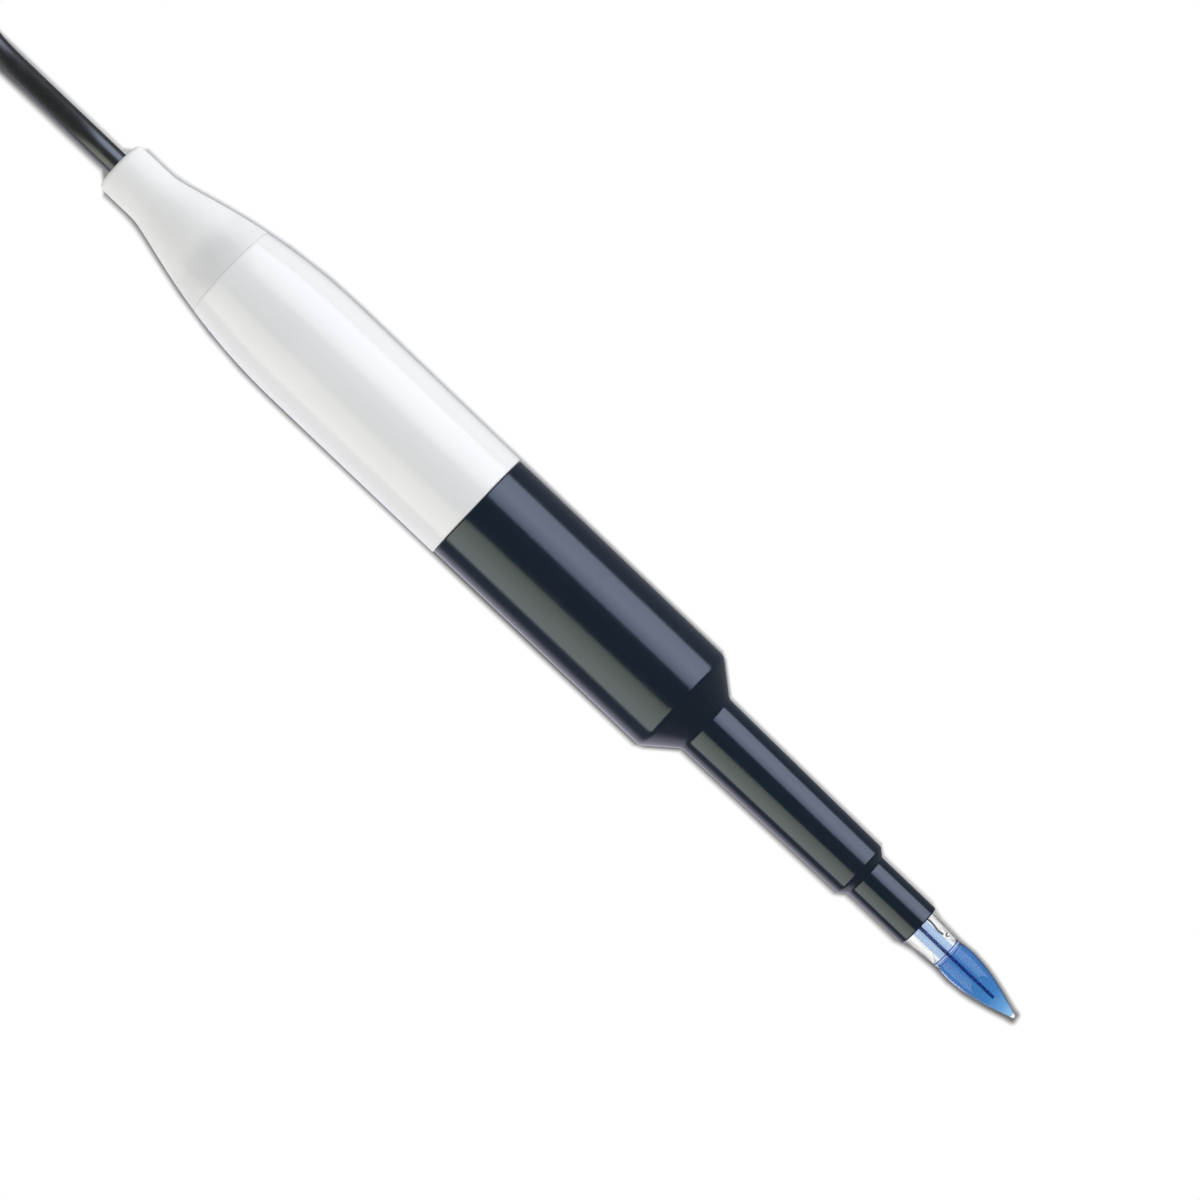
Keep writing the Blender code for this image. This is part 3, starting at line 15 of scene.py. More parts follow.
import bmesh
import bpy
import numpy as np
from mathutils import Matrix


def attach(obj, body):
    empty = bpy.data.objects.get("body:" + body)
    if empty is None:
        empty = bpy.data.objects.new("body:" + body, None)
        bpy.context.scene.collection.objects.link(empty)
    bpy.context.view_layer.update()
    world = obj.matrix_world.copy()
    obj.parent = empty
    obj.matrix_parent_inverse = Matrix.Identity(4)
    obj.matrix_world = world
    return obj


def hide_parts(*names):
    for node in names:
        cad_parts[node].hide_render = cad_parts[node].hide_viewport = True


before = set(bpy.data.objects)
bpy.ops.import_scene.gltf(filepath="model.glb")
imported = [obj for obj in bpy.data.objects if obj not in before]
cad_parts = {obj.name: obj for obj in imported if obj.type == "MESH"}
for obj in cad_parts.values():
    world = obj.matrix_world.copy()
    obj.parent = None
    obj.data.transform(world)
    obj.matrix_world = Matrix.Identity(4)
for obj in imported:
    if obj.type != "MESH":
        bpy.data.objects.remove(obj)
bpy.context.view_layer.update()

log = logging.getLogger("electrode")

MM = 0.001
HALF_LENGTH = 75.0
AXIS_Z = 7.7127
ELECTRODE_AXIS = (0.0, AXIS_Z)
PLUG_AXIS = (6.0, 7.35)
PLUG_FRONT = -211.0
JUNCTION_ANGLE = math.radians(56.0)
SHARP_ANGLE = math.radians(38.0)
WELD_DISTANCE = 1e-8
TINY = 1e-6

Triple = tuple[float, float, float]
Colour = Triple
Modulation = Callable[[np.ndarray, np.ndarray, np.ndarray], np.ndarray]


class Body(Enum):
    """Bodies of the CAD frame that a piece can ride on."""

    ELECTRODE = "electrode"
    NUT = "coupling_nut"


class Wire:
    """Output of a shader node, on which arithmetic adds Math nodes."""

    def __init__(self, graph: "Graph", socket: bpy.types.NodeSocket) -> None:
        """Keeps the node tree and the socket."""
        self.graph = graph
        self.socket = socket

    def _math(self, operation: str, first: "Wire | float", second: "Wire | float") -> "Wire":
        """Adds one Math node on two values."""
        return self.graph.node("ShaderNodeMath", {"operation": operation}, {0: first, 1: second})

    def __add__(self, other: "Wire | float") -> "Wire":
        """Sum."""
        return self._math("ADD", self, other)

    __radd__ = __add__

    def __mul__(self, other: "Wire | float") -> "Wire":
        """Product."""
        return self._math("MULTIPLY", self, other)

    __rmul__ = __mul__

    def __sub__(self, other: "Wire | float") -> "Wire":
        """Difference."""
        return self._math("SUBTRACT", self, other)

    def __rsub__(self, other: "Wire | float") -> "Wire":
        """Difference with the value on the right."""
        return self._math("SUBTRACT", other, self)

    def __truediv__(self, other: "Wire | float") -> "Wire":
        """Quotient."""
        return self._math("DIVIDE", self, other)

    def __rtruediv__(self, other: "Wire | float") -> "Wire":
        """Quotient with the value on the right."""
        return self._math("DIVIDE", other, self)

    def __pow__(self, other: "Wire | float") -> "Wire":
        """Power."""
        return self._math("POWER", self, other)

    def __abs__(self) -> "Wire":
        """Size without sign."""
        return self._math("ABSOLUTE", self, 0.0)

    def at_least(self, low: float) -> "Wire":
        """The larger of the value and a bound."""
        return self._math("MAXIMUM", self, low)

    def between(self, low: float, high: float) -> "Wire":
        """Smooth step from 0 at low to 1 at high, or falling where high is the smaller one."""
        values = {"Value": self, "From Min": low, "From Max": high, "To Min": 0.0, "To Max": 1.0}
        return self.graph.node("ShaderNodeMapRange", {"interpolation_type": "SMOOTHSTEP"}, values)

    def around(self, middle: float, spread: float) -> "Wire":
        """Value from 0 to 1 moved to a range of a width about a middle."""
        return self * spread + (middle - spread / 2)


class Graph:
    """Node tree of a material or a world, written as expressions."""

    def __init__(self, owner: bpy.types.Material | bpy.types.World, end: str) -> None:
        """Takes the owner's tree and the Surface socket of its output node.

        Args:
            owner: material or world.
            end: name of the output node.
        """
        owner.use_nodes = True
        self.nodes = owner.node_tree.nodes
        self.links = owner.node_tree.links
        self.end = self.nodes[end].inputs["Surface"]

    def node(
        self, kind: str, settings: dict | None = None, inputs: dict | None = None, output: int | str = 0
    ) -> Wire:
        """Adds a node.

        Args:
            kind: type of the node.
            settings: attributes that are set first; "stops" holds a ramp's places and colours.
            inputs: values or links by socket name or number.
            output: socket that the result reads.

        Returns:
            The chosen output.
        """
        made = self.nodes.new(kind)
        for key, value in (settings or {}).items():
            if key == "stops":
                self._set_stops(made.color_ramp, value)
            else:
                setattr(made, key, value)
        for key, value in (inputs or {}).items():
            self.connect(made.inputs[key], value)
        return Wire(self, made.outputs[output])

    def _set_stops(self, ramp: bpy.types.ColorRamp, stops: Sequence[tuple[float, Colour]]) -> None:
        """Gives a ramp its stops, as pairs of a place and a colour.

        Args:
            ramp: the ramp.
            stops: its stops in order.
        """
        while len(ramp.elements) < len(stops):
            ramp.elements.new(1.0)
        for element, (place, colour) in zip(ramp.elements, stops):
            element.position = place
            element.color = (*colour, 1.0)

    def connect(self, socket: bpy.types.NodeSocket, value: "Wire | float | Sequence[float]") -> None:
        """Links a wire to a socket, or sets the socket's own value.

        Args:
            socket: socket that is fed.
            value: wire, or a value for the socket.
        """
        if isinstance(value, Wire):
            self.links.new(value.socket, socket)
        elif socket.type == "RGBA" and len(value) == 3:
            socket.default_value = (*value, 1.0)
        else:
            socket.default_value = value

    def show(self, light: Wire) -> None:
        """Links a shader to the output of the tree."""
        self.connect(self.end, light)

    def ray(self, kind: str) -> Wire:
        """1 for rays of a kind, such as Camera, and 0 for others."""
        return self.node("ShaderNodeLightPath", output=f"Is {kind} Ray")

    def part(self, vector: Wire, axis: str) -> Wire:
        """One component of a vector."""
        return self.node("ShaderNodeSeparateXYZ", None, {0: vector}, axis)


class Shader(Graph):
    """Node tree of one material."""

    def __init__(self, name: str) -> None:
        """Makes a material with one Principled BSDF.

        Args:
            name: name of the material.
        """
        self.material = bpy.data.materials.new(name)
        super().__init__(self.material, "Material Output")
        self.principled = self.nodes["Principled BSDF"]

    def surface(self, **sockets: "Wire | float | Sequence[float]") -> bpy.types.Material:
        """Sets sockets of the Principled BSDF.

        Args:
            **sockets: values or links by socket name, with underscores for spaces.

        Returns:
            The material.
        """
        for name, value in sockets.items():
            title = name.replace("_", " ").title().replace("Ior", "IOR")
            self.connect(self.principled.inputs[title], value)
        return self.material

    def place(self, stretch: Triple = (1.0, 1.0, 1.0)) -> Wire:
        """Object coordinates in millimetres, stretched by a factor along each axis."""
        at = self.node("ShaderNodeTexCoord", output="Object")
        return self.node("ShaderNodeMapping", None, {"Vector": at, "Scale": [s / MM for s in stretch]})

    def along(self, axis: str = "X") -> Wire:
        """Place along an axis in millimetres."""
        return self.part(self.place(), axis)

    def noise(self, at: Wire, waves: float, detail: float = 2.0) -> Wire:
        """Noise from 0 to 1 with a number of waves a millimetre."""
        return self.node("ShaderNodeTexNoise", None, {"Vector": at, "Scale": waves, "Detail": detail})

    def mix(self, factor: "Wire | float", first: "Wire | Colour", second: "Wire | Colour") -> Wire:
        """Colour between two others."""
        settings = {"data_type": "RGBA", "blend_type": "MIX", "clamp_factor": True}
        return self.node("ShaderNodeMix", settings, {0: factor, 6: first, 7: second}, 2)

    def ramp(self, value: Wire, stops: Sequence[tuple[float, Colour]]) -> Wire:
        """Colour that a value from 0 to 1 has on a ramp."""
        return self.node("ShaderNodeValToRGB", {"stops": stops}, {0: value})

    def bump(self, height: Wire, depth: float) -> Wire:
        """Normal of a height field whose full height is a depth in millimetres."""
        values = {"Strength": 1.0, "Distance": depth * MM, "Height": height}
        return self.node("ShaderNodeBump", None, values)


@dataclass(frozen=True)
class Finish:
    """A surface finish, which makes its material once and keeps it by name."""

    name: str

    def material(self) -> bpy.types.Material:
        """Material of the finish, made on its first use."""
        return bpy.data.materials.get(self.name) or self.make(Shader(self.name))

    def make(self, shader: Shader) -> bpy.types.Material:
        """Writes the nodes of the finish."""
        raise NotImplementedError


@dataclass(frozen=True)
class MouldedPlastic(Finish):
    """Moulded plastic: slow colour drift, uneven gloss and a fine skin."""

    colour: Colour
    shade: Colour
    roughness: float
    spread: float
    skin_scale: float
    skin_depth: float
    tint: Colour = (1.0, 1.0, 1.0)

    def make(self, shader: Shader) -> bpy.types.Material:
        """Drifts between two colours and adds the skin as a bump.

        Args:
            shader: tree of the material.

        Returns:
            The material.
        """
        at = shader.place()
        drift = shader.noise(at, waves=0.12, detail=3.0).between(0.35, 0.7)
        gloss = shader.noise(shader.place((0.4, 1.0, 1.0)), waves=0.8, detail=3.0)
        skin = shader.noise(at, self.skin_scale) * 0.7 + shader.noise(at, self.skin_scale * 3.1) * 0.3
        return shader.surface(
            Base_Color=shader.mix(drift, self.colour, self.shade),
            Roughness=gloss.around(self.roughness, self.spread),
            Specular_Tint=self.tint,
            Normal=shader.bump(skin, self.skin_depth),
        )


@dataclass(frozen=True)
class PatchedMatte(Finish):
    """Satin boot of a cap, with a fine grain and a darker grey patch before its seam."""

    colour: Colour
    dark_patch: Colour
    seam_x: float
    roughness: float = 0.5
    specular: float = 0.3
    patch_start: float = 6.0
    patch_full: float = 3.0
    low_edge: tuple[float, float] = (-4.0, -3.0)
    high_edge: tuple[float, float] = (4.2, 1.8)

    def make(self, shader: Shader) -> bpy.types.Material:
        """Darkens a patch before the seam, most between its two edges across, and grains the skin.

        Args:
            shader: tree of the material.

        Returns:
            The material.
        """
        at = shader.place()
        cloud = shader.noise(at, waves=0.25, detail=3.0).between(0.3, 0.75)
        near = shader.along().between(self.seam_x - self.patch_start, self.seam_x - self.patch_full)
        across = shader.along("Y")
        patch = across.between(*self.low_edge) * across.between(*self.high_edge)
        # Darker grey patch before the seam, strongest between two edges across Y, over a faint random
        # cloud everywhere.
        darkening = near * (0.2 + patch * 0.5 + cloud * 0.2) + cloud * 0.1
        grain = shader.noise(at, waves=7.0, detail=3.0)
        return shader.surface(
            Base_Color=shader.mix(darkening, self.colour, self.dark_patch),
            Roughness=grain.around(self.roughness, 0.16),
            Specular_IOR_Level=self.specular,
            Normal=shader.bump(grain, 0.012),
        )


@dataclass(frozen=True)
class DarkShell(Finish):
    """Glossy near black shell with a cool sheen and hairline handling marks along its length."""

    colour: Colour = (0.003, 0.009, 0.0195)
    worn: Colour = (0.006, 0.012, 0.023)

    def make(self, shader: Shader) -> bpy.types.Material:
        """Mixes worn streaks into the colour and roughens them slightly.

        Args:
            shader: tree of the material.

        Returns:
            The material.
        """
        streaks = shader.noise(shader.place((0.15, 2.0, 2.0)), waves=1.6, detail=4.0).between(0.5, 0.8)
        peel = shader.noise(shader.place(), 0.7)
        return shader.surface(
            Base_Color=shader.mix(streaks, self.colour, self.worn),
            Roughness=streaks * 0.05 + peel * 0.04 + 0.13,
            IOR=1.58,
            Normal=shader.bump(peel, 0.004),
        )


@dataclass(frozen=True)
class CableJacket(Finish):
    """Satin cable jacket with drawing lines along its length, on the cable's own UV map."""

    colour: Colour = (0.009, 0.0098, 0.0094)
    dusty: Colour = (0.018, 0.018, 0.017)

    def make(self, shader: Shader) -> bpy.types.Material:
        """Stretches a noise along the cable for its drawing lines.

        Args:
            shader: tree of the material.

        Returns:
            The material.
        """
        uv = shader.node("ShaderNodeUVMap", {"uv_map": "UVMap"})
        stretched = shader.node("ShaderNodeMapping", None, {"Vector": uv, "Scale": (0.25, 26.0, 1.0)})
        lines = shader.noise(stretched, 1.0)
        grain = shader.noise(shader.place(), waves=6.0, detail=3.0)
        dust = shader.noise(shader.place(), waves=0.35, detail=4.0).between(0.45, 0.8)
        return shader.surface(
            Base_Color=shader.mix(dust, self.colour, self.dusty),
            Roughness=grain * 0.1 + dust * 0.08 + 0.24,
            Specular_IOR_Level=1.0,
            Normal=shader.bump(lines * 0.6 + grain * 0.4, 0.01),
        )


@dataclass(frozen=True)
class Rubber(Finish):
    """Dull elastomer with a pitted skin."""

    colour: Colour
    bloom: Colour
    roughness: float = 0.62

    def make(self, shader: Shader) -> bpy.types.Material:
        """Adds bloom in clouds and fine pits.

        Args:
            shader: tree of the material.

        Returns:
            The material.
        """
        at = shader.place()
        cloud = shader.noise(at, waves=0.4, detail=4.0).between(0.4, 0.75)
        pits = shader.noise(at, waves=5.0, detail=3.0)
        return shader.surface(
            Base_Color=shader.mix(cloud, self.colour, self.bloom),
            Roughness=pits.around(self.roughness, 0.14),
            Normal=shader.bump(pits, 0.02),
        )


@dataclass(frozen=True)
class ClearGlass(Finish):
    """Clear drawn glass: faint draw lines and edges darkened by the viewing angle as painted shade, and
    tinted rings where it is fused.
    """

    tint: Colour = (0.97, 0.98, 0.98)
    # Painted shade: this colour darkens draw lines away from the middle of the view, and the rim colour
    # darkens edges seen at a grazing angle.
    draw_line_shade: Colour = (0.9, 0.93, 0.95)
    rim: Colour = (0.2, 0.18, 0.165)
    weld: Colour = (0.2, 0.15, 0.5)
    weld_x: tuple[float, ...] = ()
    weld_width: float = 0.09
    ior: float = 1.45
    line_depth: float = 0.004

    def make(self, shader: Shader) -> bpy.types.Material:
        """Tints draw lines, paints shade on lines and edges seen at a grazing angle, and tints the rings
        at which the glass is fused.

        Args:
            shader: tree of the material.

        Returns:
            The material.
        """
        lines = shader.noise(shader.place((0.12, 1.0, 1.0)), waves=2.4, detail=3.0)
        facing = shader.node("ShaderNodeLayerWeight", None, {"Blend": 0.5}, "Facing")
        # Painted shade: draw lines and edges get darker as the surface turns away from the view, in
        # place of darker surroundings seen through the glass.
        colour = shader.mix(lines.between(0.5, 0.64) * facing.between(0.1, 0.3), self.tint, self.draw_line_shade)
        colour = shader.mix(facing.between(0.4, 0.75), colour, self.rim)
        for ring in self.weld_x:
            band = abs(shader.along() - ring).between(self.weld_width, self.weld_width * 0.4)
            colour = shader.mix(band, colour, self.weld)
        return shader.surface(
            Base_Color=colour,
            Roughness=lines * 0.02,
            IOR=self.ior,
            Transmission_Weight=1.0,
            Normal=shader.bump(lines, self.line_depth),
        )


@dataclass(frozen=True)
class TintedGel(Finish):
    """Gel whose colour changes along X between given stations."""

    stations: tuple[tuple[float, Colour], ...]
    ior: float = 1.01

    def make(self, shader: Shader) -> bpy.types.Material:
        """Ramps the colour along X and adds faint clouds.

        Args:
            shader: tree of the material.

        Returns:
            The material.
        """
        low, high = self.stations[0][0], self.stations[-1][0]
        place = (shader.along() - low) / (high - low)
        stops = [((x - low) / (high - low), colour) for x, colour in self.stations]
        cloud = shader.noise(shader.place((0.5, 1.0, 1.0)), waves=0.9, detail=3.0)
        return shader.surface(
            Base_Color=shader.ramp(place + (cloud - 0.5) * 0.004, stops),
            Roughness=cloud * 0.02,
            IOR=self.ior,
            Transmission_Weight=1.0,
        )


class Lay(Enum):
    """Direction of the fine marks on a metal: stretch factors of the noise that draws them."""

    TURNED = (9.0, 0.5, 0.5)
    DRAWN = (0.2, 6.0, 6.0)
    ROLLED = (2.5, 2.5, 2.5)


@dataclass(frozen=True)
class Metal(Finish):
    """Plated or bare metal with tool marks and slow tarnish."""

    colour: Colour
    tarnish: Colour
    roughness: float
    lay: Lay
    mark_depth: float = 0.003

    def make(self, shader: Shader) -> bpy.types.Material:
        """Draws marks along the lay and tarnish in clouds.

        Args:
            shader: tree of the material.

        Returns:
            The material.
        """
        marks = shader.noise(shader.place(self.lay.value), waves=1.0, detail=4.0)
        cloud = shader.noise(shader.place(), waves=0.3, detail=4.0).between(0.4, 0.75)
        return shader.surface(
            Base_Color=shader.mix(cloud * 0.6, self.colour, self.tarnish),
            Roughness=marks * 0.12 + cloud * 0.06 + (self.roughness - 0.08),
            Metallic=1.0,
            Normal=shader.bump(marks, self.mark_depth),
        )


@dataclass(frozen=True)
class SilverWire(Finish):
    """Silver wire with a chloride coat that is patchy and dull, in a colour given per wire; the
    measuring wire's colour is painted light.
    """

    colour: Colour
    patch: Colour

    def make(self, shader: Shader) -> bpy.types.Material:
        """Patches the coat along the wire.

        Args:
            shader: tree of the material.

        Returns:
            The material.
        """
        coat = shader.noise(shader.place((0.6, 2.0, 2.0)), waves=1.4, detail=4.0)
        return shader.surface(
            Base_Color=shader.mix(coat.between(0.45, 0.7), self.colour, self.patch),
            Roughness=coat * 0.2 + 0.35,
            Normal=shader.bump(coat, 0.01),
        )


@dataclass(frozen=True)
class PorousCeramic(Finish):
    """Unglazed ceramic with open pores."""

    colour: Colour = (0.82, 0.81, 0.77)
    pore: Colour = (0.45, 0.42, 0.38)

    def make(self, shader: Shader) -> bpy.types.Material:
        """Darkens and sinks the pores.

        Args:
            shader: tree of the material.

        Returns:
            The material.
        """
        pores = shader.noise(shader.place(), waves=14.0, detail=4.0).between(0.58, 0.7)
        return shader.surface(
            Base_Color=shader.mix(pores, self.colour, self.pore),
            Roughness=pores * 0.1 + 0.75,
            Normal=shader.bump(1.0 - pores, 0.02),
        )


CAP_GLOSS = MouldedPlastic(
    "cap_gloss", (0.79, 0.79, 0.8), (0.775, 0.78, 0.79), 0.16, 0.04, 0.7, 0.002,
    (1.0, 0.92, 0.78),
)
BOOT_SATIN = PatchedMatte("boot_satin", (0.78, 0.78, 0.775), (0.65, 0.655, 0.66), -56.3)
SHELL_DARK = DarkShell("shell_dark_gloss")
CABLE_SATIN = CableJacket("cable_satin")
PLUG_BOOT_SATIN = MouldedPlastic(
    "plug_boot_satin", (0.022, 0.022, 0.024), (0.035, 0.035, 0.037), 0.45, 0.12, 5.0, 0.012
)
SEAL_RUBBER = Rubber("seal_rubber", (0.018, 0.018, 0.018), (0.035, 0.034, 0.033))
SILICONE = Rubber("silicone_seal", (0.52, 0.48, 0.43), (0.6, 0.57, 0.52), 0.45)
TIE_NYLON = MouldedPlastic(
    "tie_nylon", (0.016, 0.016, 0.017), (0.028, 0.028, 0.03), 0.42, 0.14, 3.0, 0.01
)
# Painted shade: the line and edge colours of these glass finishes darken the glass towards its edges.
TUBE_GLASS = ClearGlass("tube_glass", draw_line_shade=(0.42, 0.4, 0.39))
STEM_GLASS = ClearGlass("stem_glass", rim=(0.6, 0.62, 0.68), ior=1.12, line_depth=0.0005)
MEMBRANE = ClearGlass(
    "membrane_glass_clear",
    (0.93, 0.965, 1.0), (0.9, 0.94, 1.0), (0.3, 0.33, 0.38),
    weld_x=(63.57, 64.12),
    ior=1.38,
    line_depth=0.0004,
)
# Painted light and shade: one gel, its colour drawn pale where the gel is thin (stem, fused rim, point)
# and deep in the bulb, in place of light passing through less or more gel.
BLUE_GEL = TintedGel(
    "blue_buffer_gel",
    (
        (-30.0, (0.44, 0.6, 0.82)), (60.0, (0.43, 0.57, 0.79)), (63.9, (0.42, 0.58, 0.84)),
        (64.2, (0.06, 0.2, 0.5)), (68.5, (0.055, 0.2, 0.5)), (71.0, (0.06, 0.23, 0.55)),
        (73.0, (0.15, 0.38, 0.72)), (74.6, (0.36, 0.62, 0.88)),
    ),
)
REFERENCE_GEL = TintedGel(
    "reference_gel_clear", ((-30.0, (0.95, 0.96, 0.96)), (64.0, (0.93, 0.94, 0.95)))
)
# Painted light: the measuring wire is drawn light and blue to stand in for light that barely reaches it
# inside the glass and gel; its patches are the chloride coat.
CHLORIDED_WIRE_PAINTED_LIGHT = SilverWire("chlorided_wire_painted_light", (0.3, 0.3, 0.62), (0.34, 0.34, 0.66))
GREY_SILVER = SilverWire("grey_wire", (0.12, 0.11, 0.11), (0.16, 0.15, 0.14))
CERAMIC = PorousCeramic("junction_ceramic")
NICKEL = Metal("nickel_turned", (0.66, 0.65, 0.62), (0.52, 0.5, 0.46), 0.2, Lay.TURNED)
CRIMPED_NICKEL = Metal("nickel_crimped", (0.63, 0.62, 0.6), (0.45, 0.44, 0.42), 0.28, Lay.DRAWN)
GOLD = Metal("gold_contact", (0.83, 0.6, 0.27), (0.7, 0.46, 0.18), 0.2, Lay.TURNED)
SPRING = Metal("spring_metal", (0.5, 0.5, 0.51), (0.36, 0.35, 0.34), 0.3, Lay.ROLLED)
INSULATOR = MouldedPlastic(
    "insulator_polymer", (0.83, 0.83, 0.81), (0.78, 0.78, 0.76), 0.4, 0.12, 2.5, 0.006
)
LEAD_SLEEVE = MouldedPlastic(
    "lead_insulation", (0.78, 0.78, 0.76), (0.7, 0.7, 0.68), 0.36, 0.1, 1.5, 0.006
)
RESIN = MouldedPlastic(
    "potting_resin_dark", (0.03, 0.03, 0.034), (0.045, 0.045, 0.05), 0.24, 0.1, 0.5, 0.02
)
COOL_PANEL = (
    (0.0, (0.38, 0.44, 0.6)), (0.2, (0.56, 0.64, 0.85)), (0.45, (0.7, 0.8, 1.0)),
    (1.0, (0.54, 0.62, 0.82)),
)
WARM_PANEL = (
    (0.0, (0.34, 0.365, 0.3)), (0.2, (0.46, 0.49, 0.41)), (0.6, (0.56, 0.6, 0.52)),
    (1.0, (0.56, 0.6, 0.6)),
)


def quads(index: np.ndarray) -> np.ndarray:
    """Corner numbers of the faces between the rows and columns of a grid of numbers."""
    corners = [index[:-1, :-1], index[1:, :-1], index[1:, 1:], index[:-1, 1:]]
    return np.stack(corners, axis=-1).reshape(-1, 4)


def grid_mesh(name: str, points: np.ndarray, index: np.ndarray, uv: np.ndarray) -> bpy.types.Mesh:
    """Makes a mesh of the faces of a grid, with a UV map.

    Args:
        name: name of the mesh.
        points: points in metres.
        index: number of the point at each row and column of the grid.
        uv: place of each row and column in the UV map.

    Returns:
        The mesh.
    """
    mesh = bpy.data.meshes.new(name)
    mesh.from_pydata(points, [], quads(index))
    places = uv.reshape(-1, 2)[quads(np.arange(index.size).reshape(index.shape))]
    mesh.uv_layers.new(name="UVMap").uv.foreach_set("vector", places.astype(np.float32).ravel())
    return mesh


def surface_object(
    name: str, grid: np.ndarray, wrap_rows: bool, lengths: np.ndarray | None = None
) -> bpy.types.Object:
    """Makes a closed object from a grid of points.

    Rows run along the profile or the path and columns run round it. Columns always close on
    themselves. Rows that fall into one point close the surface as poles.

    Args:
        name: name of the object.
        grid: points in millimetres, rows by columns by three.
        wrap_rows: whether the last row joins the first.
        lengths: distance of each row along the path, for the UV map.

    Returns:
        The object, with outward faces and smooth sides.
    """
    rows, columns = grid.shape[:2]
    index = np.arange(rows * columns).reshape(rows, columns)
    index = np.vstack([index, index[:1]]) if wrap_rows else index
    index = np.hstack([index, index[:, :1]])
    along = np.arange(len(index)) / len(index) if lengths is None else lengths
    v, u = np.meshgrid(np.arange(columns + 1) / columns, along)
    mesh = grid_mesh(name, grid.reshape(-1, 3) * MM, index, np.stack([u, v], axis=-1))
    weld(mesh)
    return linked(name, mesh)


def weld(mesh: bpy.types.Mesh) -> None:
    """Merges doubled points of a mesh, turns its faces outwards and shades it smooth.

    Args:
        mesh: mesh that is changed.
    """
    shape = bmesh.new()
    shape.from_mesh(mesh)
    bmesh.ops.remove_doubles(shape, verts=shape.verts, dist=WELD_DISTANCE)
    bmesh.ops.recalc_face_normals(shape, faces=shape.faces)
    if shape.calc_volume(signed=True) < 0:
        bmesh.ops.reverse_faces(shape, faces=shape.faces)
    shape.to_mesh(mesh)
    shape.free()
    mesh.shade_smooth()
    mesh.set_sharp_from_angle(angle=SHARP_ANGLE)


def linked(name: str, mesh: bpy.types.Mesh) -> bpy.types.Object:
    """Links an object at the origin for a mesh.

    Args:
        name: name of the object.
        mesh: its mesh.

    Returns:
        The object.
    """
    thing = bpy.data.objects.new(name, mesh)
    bpy.context.scene.collection.objects.link(thing)
    return thing


def rounded(corners: Sequence[tuple[float, ...]], steps: int = 6) -> np.ndarray:
    """Rounds the corners of an outline.

    Each corner P becomes a parabola (1-t)^2 A + 2t(1-t) P + t^2 B between A and B, which lie a
    fillet away from P on its two sides. One more point beyond A and B keeps the flat sides flat.

    Args:
        corners: x, radius and fillet of each corner; a missing fillet is 0.
        steps: pieces of each parabola.

    Returns:
        Points (x, radius).
    """
    data = np.array([(*corner, 0.0)[:3] for corner in corners])
    point, fillet = data[:, :2], data[:, 2:]
    back = np.roll(point, 1, axis=0) - point
    ahead = np.roll(point, -1, axis=0) - point
    back_length = np.linalg.norm(back, axis=1, keepdims=True)
    ahead_length = np.linalg.norm(ahead, axis=1, keepdims=True)
    reach = np.minimum(fillet, 0.45 * np.minimum(back_length, ahead_length))
    back /= back_length
    ahead /= ahead_length
    t = np.linspace(0.0, 1.0, steps + 1)[None, :, None]
    start = (point + back * reach)[:, None]
    end = (point + ahead * reach)[:, None]
    middle = point[:, None]
    arc = (1 - t) ** 2 * start + 2 * t * (1 - t) * middle + t**2 * end
    hold = np.minimum(1.5 * reach, 0.48 * np.minimum(back_length, ahead_length))
    before = (point + back * np.where(reach > 0, hold, 0))[:, None]
    after = (point + ahead * np.where(reach > 0, hold, 0))[:, None]
    line = np.concatenate([before, arc, after], axis=1).reshape(-1, 2)
    gaps = np.linalg.norm(line - np.roll(line, 1, axis=0), axis=1)
    return line[gaps > TINY]


def revolved(
    name: str,
    outline: np.ndarray,
    sides: int,
    axis: tuple[float, float] = ELECTRODE_AXIS,
    modulation: Modulation | None = None,
) -> bpy.types.Object:
    """Surface of revolution about an axis along X.

    A point (x, r) of the outline at the angle a goes to (x, y0 + r sin a, z0 + r cos a).

    Args:
        name: name of the object.
        outline: points (x, radius); closed on itself unless it starts and ends on the axis.
        sides: steps round the axis.
        axis: y0 and z0.
        modulation: changes the radius, given x, angle and radius as grids.

    Returns:
        The object.
    """
    angle = np.arange(sides) / sides * math.tau
    x, a = np.meshgrid(outline[:, 0], angle, indexing="ij")
    radius = np.repeat(outline[:, 1:], sides, axis=1)
    radius = radius if modulation is None else modulation(x, a, radius)
    grid = np.stack([x, axis[0] + radius * np.sin(a), axis[1] + radius * np.cos(a)], axis=-1)
    open_line = max(outline[0, 1], outline[-1, 1]) < TINY
    return surface_object(name, grid, wrap_rows=not open_line)


